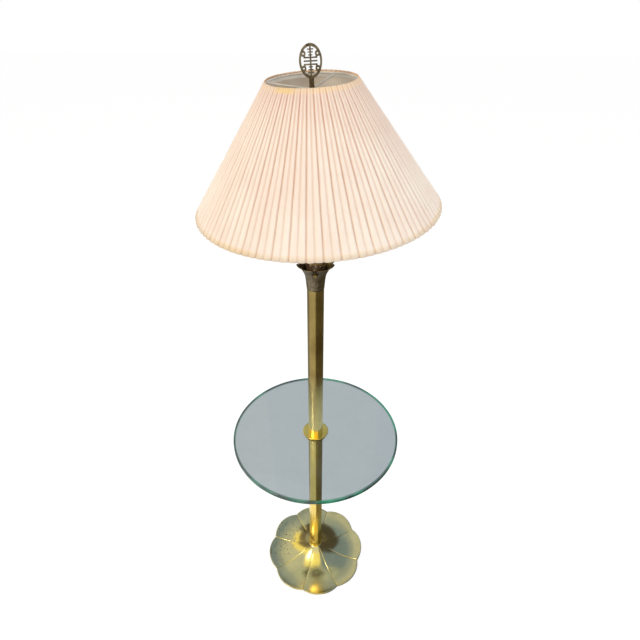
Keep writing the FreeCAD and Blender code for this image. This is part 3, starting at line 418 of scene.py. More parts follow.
class Surface:
    """A material's node tree while a finish fills it."""

    def __init__(self, name: str, pattern: Pattern = Pattern.OBJECT) -> None:
        """Makes the material with an empty tree and its coordinates.

        Args:
            name: the material's name.
            pattern: what its pattern follows.
        """
        self.material = bpy.data.materials.new(name)
        self.material.use_nodes = True
        self.tree = self.material.node_tree
        self.tree.nodes.clear()
        self.place = self.add("ShaderNodeTexCoord", out=pattern.value)

    def add(self, kind: str, inputs: dict | None = None, out: int | str = 0,
            **settings: object) -> Output:
        """Adds a node to this tree.

        Args:
            kind: Blender's name for the kind of node.
            inputs: a value or an output for each input.
            out: the number or name of the output that is wanted.
            settings: the node's own settings by name.

        Returns:
            That output.
        """
        return node(self.tree, kind, inputs, **settings).outputs[out]

    def maths(self, operation: str, *values: Output | float, **settings: object) -> Output:
        """The result of one step of arithmetic."""
        return maths(self.tree, operation, *values, **settings)

    def times(self, *values: Output | float) -> Output:
        """The product of two values."""
        return self.maths("MULTIPLY", *values)

    def axis(self, vector: Output, number: int) -> Output:
        """One part of a vector: 0 for X, 1 for Y and 2 for Z."""
        return self.add("ShaderNodeSeparateXYZ", {0: vector}, out=number)

    def away(self, place: Output, centre_mm: Triple) -> Output:
        """How far a place is, in metres, from a point that is given in millimetres."""
        return self.add("ShaderNodeVectorMath", {0: place, 1: metres(centre_mm)}, out="Value",
                        operation="DISTANCE")

    def noise(self, size_mm: float, detail: float = 3.0, stretch: Triple = (1.0, 1.0, 1.0),
              shift: float = 0.0) -> Output:
        """Soft noise whose patches have a real size.

        Args:
            size_mm: the width of a patch in millimetres.
            detail: how many finer layers it has.
            stretch: how fast it changes along each axis.
            shift: moves it along every axis, in metres, so that two noises differ.

        Returns:
            The noise's value, from 0 to 1.
        """
        moved = self.add("ShaderNodeMapping", {"Vector": self.place, "Location": (shift,) * 3,
                                               "Scale": stretch})
        return self.add("ShaderNodeTexNoise", {"Vector": moved, "Scale": 1 / (size_mm * MM),
                                               "Detail": detail})

    def ramp(self, value: Output, span: Pair, to: Pair = (0.0, 1.0)) -> Output:
        """Spreads part of a value's range over another range, and holds it there.

        Args:
            value: what is spread.
            span: the values that become the new range's ends.
            to: the new range.

        Returns:
            The spread value.
        """
        return self.add("ShaderNodeMapRange", {
            "Value": value, "From Min": span[0], "From Max": span[1], "To Min": to[0],
            "To Max": to[1]}, clamp=True)

    def mix(self, share: Output, first: str | Output, second: str | Output) -> Output:
        """Blends two colours.

        Args:
            share: how much of the second colour shows.
            first: the first colour, as an output or as hex digits.
            second: the second colour, given likewise.

        Returns:
            The blended colour.
        """
        pair = (linear(c) if isinstance(c, str) else c for c in (first, second))
        return self.add("ShaderNodeMix", dict(zip((0, 6, 7), (share, *pair))), out=2,
                        data_type="RGBA")

    def blend(self, share: Output, first: Output, second: Output) -> Output:
        """Blends two shaders by the second one's share."""
        return self.add("ShaderNodeMixShader", {0: share, 1: first, 2: second})

    def relief(self, height: Output, depth_mm: float) -> Output:
        """The normal of a surface with a fine relief of a full height in millimetres."""
        return self.add("ShaderNodeBump", {"Height": height, "Distance": depth_mm * MM,
                                           "Strength": 1.0})

    def close(self, shader: Output, volume: Output | None = None) -> Material:
        """Links the shader, and what fills the piece, to the output.

        Args:
            shader: how the surface looks.
            volume: what fills the piece, if anything does.

        Returns:
            The finished material.
        """
        links = {"Surface": shader} | ({"Volume": volume} if volume else {})
        node(self.tree, "ShaderNodeOutputMaterial", links)
        return self.material


@dataclass(frozen=True)
class Metal:
    """A metal with slow changes of tone, small tarnish spots and the marks of how it was worked.

    Where it has a painted reflection colour, that paler painted reflection shows below its span and
    fades out over it. Where it has a worn reach, the spots gather within that many millimetres of
    the worn place.
    """

    name: str
    clean: str
    toned: str
    spots: str
    roughness: Pair
    grain: Grain = Grain.CAST
    tone_mm: float = 40.0
    tone_span: Pair = (0.36, 0.66)
    smear_span: Pair = (0.35, 0.7)
    spot_mm: float = 6.0
    spot_share: float = 0.1
    spot_roughness: float = 0.3
    cluster_span: Pair = (0.45, 0.6)
    mark_mm: float = 0.6
    mark_depth_mm: float = 0.004
    painted_reflection: str = ""
    painted_reflection_span: Pair = (0.0, 1.0)
    worn_place: Triple = (0.0, 0.0, 0.0)
    worn_reach: float = 0.0
    worn_least: float = 0.12

    def material(self) -> Material:
        """Builds the metal.

        Returns:
            The finished material.
        """
        surface = Surface(self.name)
        drift = surface.noise(self.tone_mm)
        tone = surface.mix(surface.ramp(drift, self.tone_span), self.clean, self.toned)
        # Painted reflection: the metal turns paler below its span, as if it mirrored bright things
        # there.
        if self.painted_reflection:
            level = surface.axis(surface.place, 2)
            tone = surface.mix(surface.ramp(level, metres(self.painted_reflection_span)), self.painted_reflection, tone)
        stained = self.stains(surface)
        smear = surface.noise(self.tone_mm * 0.6, 4.0, self.grain.value, shift=0.53)
        rough = surface.maths("MULTIPLY_ADD", stained, self.spot_roughness,
                              surface.ramp(smear, self.smear_span, self.roughness), use_clamp=True)
        marks = surface.noise(self.mark_mm, 3.0, self.grain.value, shift=0.13)
        return surface.close(surface.add("ShaderNodeBsdfPrincipled", {
            "Base Color": surface.mix(stained, tone, self.spots), "Metallic": 1.0,
            "Roughness": rough, "Normal": surface.relief(marks, self.mark_depth_mm)}))

    def stains(self, surface: Surface) -> Output:
        """Where the tarnish spots are.

        Args:
            surface: the tree that gets the nodes.

        Returns:
            1 in a spot and 0 outside.
        """
        if self.worn_reach:
            reach = self.worn_reach * MM
            away = surface.away(surface.place, self.worn_place)
            cluster = surface.ramp(away, (0.5 * reach, reach), (1.0, self.worn_least))
        else:
            patches = surface.noise(self.spot_mm * 7, 2.0, shift=0.77)
            cluster = surface.ramp(patches, self.cluster_span)
        speck = surface.noise(self.spot_mm, 4.0, shift=0.31)
        edge = 0.74 - 0.35 * self.spot_share
        return surface.times(surface.ramp(speck, (edge - 0.05, edge + 0.03)), cluster)


@dataclass(frozen=True)
class Moulded:
    """A plastic, rubber, card or paint with a slightly uneven, matt to satin skin."""

    name: str
    clean: str
    toned: str
    roughness: Pair
    grain_mm: float = 0.8
    grain_depth_mm: float = 0.03
    tone_mm: float = 25.0
    tone_span: Pair = (0.35, 0.65)
    ior: float = 1.5

    def material(self) -> Material:
        """Builds the moulded skin.

        Returns:
            The finished material.
        """
        surface = Surface(self.name)
        drift = surface.ramp(surface.noise(self.tone_mm), self.tone_span)
        return surface.close(surface.add("ShaderNodeBsdfPrincipled", {
            "Base Color": surface.mix(drift, self.clean, self.toned),
            "Roughness": surface.ramp(drift, (0.0, 1.0), self.roughness), "IOR": self.ior,
            "Normal": surface.relief(surface.noise(self.grain_mm, 2.0), self.grain_depth_mm)}))


@dataclass(frozen=True)
class Glass:
    """Clear float glass, or a bulb's envelope, that lets the lamps' light through.

    A sheet with ground edges names the two greens of its edge. Within the rim span, in millimetres
    from the lamp's axis, the edge shows through the sheet's face.
    """

    name: str
    tint: str
    depth_tint: str
    depth_density: float
    roughness: float = 0.0
    ior: float = 1.52
    wave_mm: float = 90.0
    wave_depth_mm: float = 0.02
    dust: str = "c9cdc8"
    dust_share: float = 0.05
    edge: tuple[str, str] | None = None
    edge_roughness: float = 0.12
    edge_clear: float = 0.25
    rim_span: Pair = (0.0, 1.0)
    rim_share: float = 0.8

    def material(self) -> Material:
        """Builds the glass: its surface with a little dust, and its colour in depth.

        Returns:
            The finished material.
        """
        surface = Surface(self.name)
        body = surface.add("ShaderNodeBsdfPrincipled", {
            "Base Color": linear(self.tint), "Roughness": self.roughness, "IOR": self.ior,
            "Transmission Weight": 1.0,
            "Normal": surface.relief(surface.noise(self.wave_mm, 1.0), self.wave_depth_mm)})
        film = surface.add("ShaderNodeBsdfDiffuse", {"Color": linear(self.dust)})
        specks = surface.ramp(surface.noise(2.5, 5.0), (0.62, 0.74), (0.0, self.dust_share * 4))
        haze = surface.ramp(surface.noise(60.0, shift=0.4), (0.4, 0.7), (0.0, self.dust_share))
        dusty = surface.blend(surface.maths("MAXIMUM", specks, haze), body, film)
        if self.edge:
            dusty = self.ground_edge(surface, dusty)
        clear = surface.add("ShaderNodeBsdfTransparent", {"Color": linear(self.tint)})
        shadow = surface.add("ShaderNodeLightPath", out="Is Shadow Ray")
        depth = surface.add("ShaderNodeVolumeAbsorption", {
            "Color": linear(self.depth_tint), "Density": self.depth_density}
                            ) if self.depth_density else None
        return surface.close(surface.blend(shadow, dusty, clear), depth)

    def ground_edge(self, surface: Surface, face: Output) -> Output:
        """Adds the ground edge, where the light that is caught in the sheet comes out green.

        Args:
            surface: the tree that gets the nodes.
            face: the shader of the flat faces.

        Returns:
            The shader of the whole sheet.
        """
        normal = surface.add("ShaderNodeNewGeometry", out="True Normal")
        upward = surface.maths("ABSOLUTE", surface.axis(normal, 2))
        side = surface.ramp(upward, (0.5, 0.9), (1.0, 0.0))
        flat = surface.add("ShaderNodeVectorMath", {0: surface.place, 1: (1, 1, 0)},
                           operation="MULTIPLY")
        reach = surface.add("ShaderNodeVectorMath", {0: flat}, out="Value", operation="LENGTH")
        inside = surface.ramp(reach, metres(self.rim_span), (0.0, self.rim_share))
        bright, deep = self.edge
        glow = surface.ramp(surface.noise(self.wave_mm, 2.0, shift=0.2), (0.48, 0.66))
        rim = surface.add("ShaderNodeBsdfPrincipled", {
            "Base Color": surface.mix(glow, deep, bright), "Roughness": self.edge_roughness,
            "IOR": self.ior, "Transmission Weight": self.edge_clear})
        return surface.blend(surface.maths("MAXIMUM", side, inside), face, rim)


@dataclass(frozen=True)
class Pleating:
    """Colour from the folds: painted shade in the valleys, yellowed glued edges and one worse
    patch.
    """

    valley_shade: str
    stain: str
    length_m: float
    pitch_mm: Pair
    valley: float = 0.77
    crease_mm: Pair = (0.3, 2.6)
    shallow_share: float = 0.55
    bottom_share: float = 0.6
    patchy_share: float = 0.6
    band_mm: float = 9.0
    stain_share: float = 0.5
    patch: Triple = (0.0, 0.0, 0.0)
    patch_mm: float = 30.0
    patch_share: float = 0.85

    def painted_valley_shade(self, surface: Surface) -> Output:
        """How far into a fold's valley a point lies, for the painted shade there.

        Args:
            surface: the tree that gets the nodes.

        Returns:
            1 at the crease and 0 away from it.
        """
        fold = surface.add("ShaderNodeUVMap", uv_map=FOLD_MAP)
        turn, height = surface.axis(fold, 0), surface.axis(fold, 1)
        share = surface.maths("FRACT", surface.maths("ADD", turn, 0.5 - self.valley))
        away = surface.maths("ABSOLUTE", surface.maths("SUBTRACT", share, 0.5))
        pitch = surface.ramp(height, (0.0, 1.0), metres(self.pitch_mm))
        valley_shade = surface.ramp(surface.times(away, pitch), metres(self.crease_mm), (1.0, 0.0))
        pair = surface.maths("MODULO", turn, 2.0)
        deep = surface.ramp(pair, (1.0, 1.02), (1.0, self.shallow_share))
        fading = surface.ramp(height, (0.0, 0.8), (self.bottom_share, 1.0))
        patchy = surface.ramp(surface.noise(45.0, 2.0, (1.0, 0.3, 1.0), shift=0.9), (0.3, 0.7),
                              (self.patchy_share, 1.0))
        return surface.times(surface.times(valley_shade, deep), surface.times(fading, patchy))

    def stains(self, surface: Surface, spot: Output) -> Output:
        """How yellowed the cloth is: a band at each glued edge, deeper round one patch.

        Args:
            surface: the tree that gets the nodes.
            spot: the place on the whole lamp, for stains wider than a fold.

        Returns:
            The share of the stain's colour.
        """
        wander, wide = (surface.add("ShaderNodeTexNoise", {
            "Vector": spot, "Scale": fineness, "Detail": detail})
            for fineness, detail in ((45.0, 3.0), (9.0, 2.0)))
        band, whole, near, far = self.band_mm * MM, self.length_m, 0.001, 0.004
        ragged = surface.maths("MULTIPLY_ADD", wander, far, surface.axis(surface.place, 1))
        low = surface.ramp(ragged, (band + near, band + far), (1.0, 0.0))
        high = surface.ramp(ragged, (whole - band + near, whole - band + far))
        uneven = surface.ramp(wide, (0.45, 0.7), (self.stain_share * 0.4, self.stain_share))
        size = self.patch_mm * MM
        patch = surface.ramp(surface.away(spot, self.patch), (0.3 * size, size),
                             (self.patch_share, 0.0))
        return surface.times(surface.maths("MAXIMUM", low, high),
                             surface.maths("MAXIMUM", uneven, patch))


@dataclass(frozen=True)
class Cloth:
    """Plain-woven cloth that reads its place in metres along and across the threads."""

    name: str
    clean: str
    toned: str
    pleating: Pleating | None = None
    thread_mm: float = 0.9
    thread_depth_mm: float = 0.06
    sheen: float = 0.15
    slub_mm: float = 14.0
    tone_span: Pair = (0.55, 0.95)

    def threads(self, surface: Surface, direction: str) -> Output:
        """One set of threads.

        Args:
            surface: the tree that gets them.
            direction: the axis of the cloth, X or Y, that they cross.

        Returns:
            Their height, from 0 to 1.
        """
        full_turn = 6.283
        return surface.add("ShaderNodeTexWave", {
            "Vector": surface.place, "Scale": 1 / (self.thread_mm * MM * full_turn / 2),
            "Distortion": 0.6, "Detail": 1.0, "Detail Scale": 2.0}, out="Fac",
            wave_type="BANDS", bands_direction=direction)

    def material(self) -> Material:
        """Builds the cloth: its weave, slubs, painted valley shade and yellowing.

        Returns:
            The finished material.
        """
        surface = Surface(self.name, Pattern.SHEET)
        spot = surface.add("ShaderNodeTexCoord", out=Pattern.OBJECT.value)
        slub = surface.noise(self.slub_mm, 2.0, (1.0, 0.06, 1.0))
        drift = surface.add("ShaderNodeTexNoise", {"Vector": spot, "Scale": 14.0, "Detail": 4.0})
        mixed = surface.maths("MULTIPLY_ADD", slub, 0.5, drift)
        colour = surface.mix(surface.ramp(mixed, self.tone_span), self.clean, self.toned)
        if self.pleating:
            folds = self.pleating
            # Painted shade: the cloth darkens towards a pink shade colour in each fold valley.
            colour = surface.mix(folds.painted_valley_shade(surface), colour, folds.valley_shade)
            colour = surface.mix(folds.stains(surface, spot), colour, folds.stain)
        weave = surface.maths("ADD", *(self.threads(surface, way) for way in "XY"))
        return surface.close(surface.add("ShaderNodeBsdfPrincipled", {
            "Base Color": colour, "Roughness": 0.88, "IOR": 1.45, "Sheen Weight": self.sheen,
            "Sheen Roughness": 0.5, "Normal": surface.relief(weave, self.thread_depth_mm / 2)}))


@dataclass(frozen=True)
class Felt:
    """Pressed wool felt: matt, with short fibres that lie every way."""

    name: str
    clean: str
    toned: str
    fibre_mm: float = 1.2
    fibre_depth_mm: float = 0.25
    tone_span: Pair = (0.35, 0.65)

    def material(self) -> Material:
        """Builds the felt.

        Returns:
            The finished material.
        """
        surface = Surface(self.name)
        fibres = surface.noise(self.fibre_mm, 6.0)
        share = surface.ramp(fibres, self.tone_span)
        return surface.close(surface.add("ShaderNodeBsdfPrincipled", {
            "Base Color": surface.mix(share, self.clean, self.toned), "Roughness": 0.95,
            "Sheen Weight": 0.5, "Sheen Roughness": 0.6,
            "Normal": surface.relief(fibres, self.fibre_depth_mm)}))


Finish = Metal | Moulded | Glass | Cloth | Felt

# Pressed and buffed brass, lacquered long ago: satin, cool where it mirrors pale light, with brown
# spots at the left
DISH_BRASS = Metal("polished_pressed_brass", "cfc28a", "c0b583", "4b4028", (0.17, 0.25),
                   tone_mm=55, spot_mm=6, spot_share=0.3, mark_mm=9, mark_depth_mm=0.02,
                   worn_place=(-140.0, 50.0, 8.0), worn_reach=105.0)
# Drawn brass tube under clear lacquer that kept its yellow: satin along the tube
LOWER_BRASS = Metal("lacquered_drawn_brass", "fbe490", "f4d676", "8d6d30", (0.16, 0.24),
                    Grain.DRAWN, tone_mm=45, spot_mm=4, spot_share=0.05, mark_mm=0.8)
# The same tube above the table, browned by handling and lamp heat; the darker brown is also a
# painted dark reflection, and the paler colour near the table is a painted reflection
UPPER_BRASS = Metal("browned_drawn_brass", "a08b54", "84703f", "4d3f22", (0.18, 0.28),
                    Grain.DRAWN, tone_mm=70, spot_mm=3, spot_share=0.1, mark_mm=0.8,
                    painted_reflection="f6e3a0", painted_reflection_span=(600.0, 760.0))
# Turned and lacquered brass of the collar, flange and ring
TURNED_BRASS = Metal("lacquered_turned_brass", "e3c768", "cfae52", "77602f", (0.12, 0.22),
                     Grain.TURNED, tone_mm=20, spot_mm=2, spot_share=0.1, mark_mm=0.5)
# Turned brass of the small switch parts, dulled by fingers
DULL_BRASS = Metal("dull_turned_brass", "927c50", "7a6540", "43371f", (0.26, 0.38),
                   Grain.TURNED, tone_mm=8, spot_mm=2, spot_share=0.2, mark_mm=0.5)
# Chemically darkened cast bronze, rubbed brown where it stands proud
DARK_BRONZE = Metal("antique_cast_bronze", "8b7f69", "6b5f4a", "2b241a", (0.3, 0.44),
                    tone_mm=6, spot_mm=2, spot_share=0.4, mark_mm=1.2, mark_depth_mm=0.05)
# Copper-brown plated steel cup, with painted light: its colour is painted far paler than the plate
# so that the cup, in shade under the lampshade, reads lighter
LIGHTENED_COPPER = Metal("copper_bronze_plate", "efe0d5", "dbc8ba", "6a5548", (0.22, 0.34),
                     Grain.TURNED, tone_mm=12, spot_mm=2, spot_share=0.2)
# Zinc-plated steel nuts, washer, pipe and ring wire
ZINC_STEEL = Metal("zinc_plated_steel", "b9bcbc", "a2a5a4", "6a6a66", (0.24, 0.38),
                   Grain.TURNED, tone_mm=8, spot_mm=2, spot_share=0.15)
# Grey iron from a sand mould, painted black inside the foot
CAST_IRON = Metal("sand_cast_iron", "4a4a4a", "3b3b3c", "5a3d2a", (0.55, 0.7),
                  tone_mm=14, spot_mm=3, spot_share=0.3, mark_mm=1.5, mark_depth_mm=0.25)
# Spun aluminium screw base of the bulb
ALUMINIUM = Metal("spun_aluminium", "d4d5d6", "bfc1c3", "8b8d90", (0.2, 0.32),
                  Grain.TURNED, tone_mm=9, spot_mm=2, spot_share=0.05)
# Nickel-plated harp wire, dulled
HARP_NICKEL = Metal("dull_nickel_plate", "a89a80", "8d8068", "4f473a", (0.28, 0.4),
                    tone_mm=18, spot_mm=2, spot_share=0.2)
# White-painted steel wire of the spider
WHITE_PAINT = Moulded("white_painted_steel", "cfc8bc", "bdb4a6", (0.35, 0.5), grain_mm=1.5)
# Soft black rubber gaskets and bushings
RUBBER = Moulded("moulded_black_rubber", "26251f", "1d1c19", (0.6, 0.75), grain_mm=0.7)
# Black phenolic of the switch and the socket's body
PHENOLIC = Moulded("moulded_phenolic", "2b2320", "221c19", (0.25, 0.4), grain_mm=1.0,
                   grain_depth_mm=0.01, ior=1.6)
# Grey pressboard sleeve in the socket
CARD = Moulded("pressed_card", "8f8574", "7f7565", (0.85, 0.95), grain_mm=0.9)
# Styrene-backed paper inside the shade: matt and yellowed by the bulb
LINER = Moulded("styrene_shade_liner", "e2d6c6", "d3c4b0", (0.55, 0.7), grain_mm=1.6,
                grain_depth_mm=0.04, tone_mm=60)
# Float glass with ground and polished edges: clear through its face, green through its edge
TABLE_GLASS = Glass("green_edged_float_glass", "a6adb0", "38dda4", 3.0,
                    edge=("2fae84", "0f4334"), rim_span=(205.5, 209.0))
# Soft-white coated bulb glass
BULB_GLASS = Glass("soft_white_bulb_glass", "f7f5ef", WHITE, 0.0, roughness=0.35, dust="f4f1ea",
                   dust_share=0.9)
# Knife-pleated polyester-cotton: warm off-white, with painted pink valley shade, yellowed where
# glued
PLEAT_CLOTH = Cloth("knife_pleated_cloth", "fdf0e0", "f8e4d3", Pleating(
    valley_shade="d6a58c", stain="f7d592", length_m=0.2618, pitch_mm=(13.8, 4.7),
    patch=(-48.0, -84.0, 1384.0)))
# Cotton tape round the rings
TAPE = Cloth("cotton_twill_tape", "f4f0e9", "e8e1d6", thread_mm=0.7)
# Green-black felt under the foot
FELT = Felt("pressed_wool_felt", "2f3a2f", "252d25")


class Wardrobe:
    """Makes each finish once and gives it to pieces."""

    def __init__(self) -> None:
        """Starts with no material made."""
        self.made: dict[str, Material] = {}

    def material(self, finish: Finish) -> Material:
        """Gives a finish its material, made on its first use.

        Args:
            finish: the finish.

        Returns:
            Its material.
        """
        if finish.name not in self.made:
            self.made[finish.name] = finish.material()
        return self.made[finish.name]

    def dress(self, piece: Piece, finish: Finish) -> None:
        """Gives every material slot of a piece one finish.

        Args:
            piece: the object that is dressed.
            finish: the finish that it gets.
        """
        material = self.material(finish)
        if not piece.material_slots:
            piece.data.materials.append(material)
        for slot in piece.material_slots:
            slot.material = material


# ---------------------------------------------------------------- sub-assemblies

@dataclass
class Assembly:
    """Part of the lamp: the solids it dresses and the pieces it makes.

    Its finishes name the solids that keep their own mesh.
    """

    finishes: ClassVar[dict[str, Finish]] = {}
    nodes: dict[str, Piece]
    wardrobe: Wardrobe

    def pieces(self) -> Iterator[Piece]:
        """Makes the pieces that stand for soft or finely shaped solids."""
        return iter(())

    def stand_for(self, piece: Piece, solid: str, body: str, slot: str, finish: Finish) -> Piece:
        """Lets a piece stand for a solid.

        Args:
            piece: the finished piece, in place.
            solid: the solid that it replaces.
            body: the body that carries it.
            slot: the material slot that it belongs to; not used.
            finish: its finish.

        Returns:
            The piece.
        """
        self.wardrobe.dress(piece, finish)
        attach(piece, body)
        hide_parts(solid)
        return piece

    def build(self) -> None:
        """Dresses the solids, makes the pieces and reports each."""
        for name, finish in self.finishes.items():
            self.wardrobe.dress(self.nodes[name], finish)
            log.info("%s: %s on the solid", name, finish.name)
        for piece in self.pieces():
            log.info("%s: %d faces", piece.name, len(piece.data.polygons))


@dataclass
class Foot(Assembly):
    """Felt, weight and the eight-petal dish."""

    finishes = {"base_weight": CAST_IRON, "cord_bushing": RUBBER, "base_washer": ZINC_STEEL,
                "base_nut": ZINC_STEEL, "base_spacer": ZINC_STEEL}
    petals: int = 8
    turn: float = 6.5
    reach: float = 147.6
    lobe: float = 76.7
    crown: float = 0.8
    low_radius: float = 110.0
    low_level: float = 12.4
    arc: float = 120.0
    neck: float = 18.6
    eye: float = 5.1
    wall: float = 1.8
    edge: float = 5.0
    edge_round: float = 1.1
    edge_bevel: float = 0.3
    seam_depth: float = 0.7
    seam_width: float = 0.75
    seam_start: float = 3.0
    seam_fade: float = 12.0
    rows: int = 46
    felt_radius: float = 112.0
    felt_thickness: float = 2.0
    felt_fray: float = 0.25
    felt_columns: int = 144

    def level(self, radius: float) -> float:
        """The height of the dish's plain sweep at a radius."""
        drop = math.sqrt(self.arc ** 2 - (self.low_radius - radius) ** 2)
        return self.low_level + self.arc - drop

    def rim(self, offset: float) -> float:
        """Finds the rim's radius at an angle.

        Args:
            offset: the angle off a petal's middle, in degrees.

        Returns:
            The rim's radius.
        """
        centre = self.reach - self.lobe
        swing = math.radians(offset)
        return centre * math.cos(swing) + math.sqrt(
            self.lobe ** 2 - (centre * math.sin(swing)) ** 2)

    def section(self, offset: float) -> list[Pair]:
        """The dish's closed section at an angle off a petal's middle.

        Args:
            offset: the angle in degrees.

        Returns:
            Pairs of radius and level, from the eye over the top to the lip and back underneath.
        """
        half = 180 / self.petals
        bulge = 1 - (offset / half) ** 2
        rim = self.rim(offset)
        middle = (self.neck + rim) / 2

        def top(radius: float) -> float:
            """Finds the level of the upper face, with its crown and its seam groove.

            Args:
                radius: how far out from the lamp's axis.

            Returns:
                The level there.
            """
            rise = min(1.0, (radius - self.neck) / (middle - self.neck))
            away = radius * math.sin(math.radians(half - abs(offset)))
            groove = self.seam_depth * math.exp(-(away / self.seam_width) ** 2)
            start = min(1.0, max(0.0, (radius - self.neck - self.seam_start) / self.seam_fade))
            return (self.level(radius) + self.crown * bulge * rise * (2 - rise)
                    - groove * start)

        turned = rim - self.edge_round
        radii = [self.neck + (turned - self.neck) * (i / self.rows) for i in range(self.rows + 1)]
        skin = [(self.eye, top(self.neck))] + [(r, top(r)) for r in radii]
        round_centre = top(turned) - self.edge_round
        for angle in (60, 30, 0):
            turn = math.radians(angle)
            skin.append((turned + self.edge_round * math.cos(turn),
                         round_centre + self.edge_round * math.sin(turn)))
        lip = top(rim) - self.edge
        skin += [(rim, lip + self.edge_bevel), (rim - self.edge_bevel, lip), (rim - self.wall, lip)]
        under = [(r - self.wall * 0.6, self.level(r) - self.wall) for r in radii[::-3]]
        return skin + under + [(self.eye, self.level(self.neck) - self.wall)]

    def dish(self) -> Piece:
        """Makes one petal with its seam grooves and repeats it round the neck.

        Returns:
            The dish.
        """
        half = 180 / self.petals
        steps = (0, .1, .2, .35, .55, .85, 1.3, 2, 3, 4.6, 6.8, 9.5, 12.5, 16, 19.3, half)
        offsets = [-half + s for s in steps] + [half - s for s in steps[-2::-1]]
        sections = [self.section(offset) for offset in offsets]
        points = [round_point(radius, math.radians(offset), level)
                  for ring in zip(*sections) for offset, (radius, level) in zip(offsets, ring)]
        faces = grid_faces(len(sections[0]), len(offsets), close_rows=True)
        piece = mesh_piece("brass_petal_dish", points, faces)
        RoundRepeat(self.petals, merge_mm=0.03).apply(piece, self.wardrobe.material(DISH_BRASS))
        piece.data.transform(Matrix.Rotation(math.radians(self.turn), 4, "Z"))
        return piece

    def felt(self) -> Piece:
        """Makes the felt disc with a soft, slightly uneven edge.

        Returns:
            The felt.
        """
        radii = (0.0, 40.0, 80.0, 104.0, 109.0, 111.0, 111.8)
        top, columns, fray_from = self.felt_thickness, self.felt_columns, 108.0
        profile = [(r, top) for r in radii] + [(self.felt_radius, top / 2)]
        profile += [(r, 0.0) for r in radii[::-1]]
        points: list[Triple] = []
        for radius, level in profile:
            for column in range(columns + 1):
                swing = math.tau * column / columns
                frayed = radius - (self.felt_fray * (1 + math.sin(9 * swing + math.sin(23 * swing)))
                                   if radius > fray_from else 0.0)
                points.append(round_point(frayed, swing, level))
        piece = mesh_piece("felt_pad", points, grid_faces(len(profile), columns + 1))
        return settle(piece, merge_mm=0.01)

    def pieces(self) -> Iterator[Piece]:
        """Makes the dish and the felt.

        Yields:
            Each piece, in place.
        """
        yield self.stand_for(self.dish(), "base_dish", "lamp", "brass_dish", DISH_BRASS)
        felt = self.stand_for(self.felt(), "base_felt", "lamp", "felt", FELT)
        yield felt


@dataclass
class Column(Assembly):
    """The two tubes with their ring, plug, pipe and coupler."""

    finishes = {"column_foot": TURNED_BRASS, "lower_tube": LOWER_BRASS, "upper_tube": UPPER_BRASS,
                "tube_plug": ZINC_STEEL, "lower_pipe": ZINC_STEEL, "upper_pipe": ZINC_STEEL,
                "pipe_coupler": ZINC_STEEL}


@dataclass
class GlassTable(Assembly):
    """The glass disc between its flange and collar."""

    finishes = {"table_flange": TURNED_BRASS, "lower_gasket": RUBBER, "glass_top": TABLE_GLASS,
                "glass_bushing": RUBBER, "upper_gasket": RUBBER, "table_collar": TURNED_BRASS}


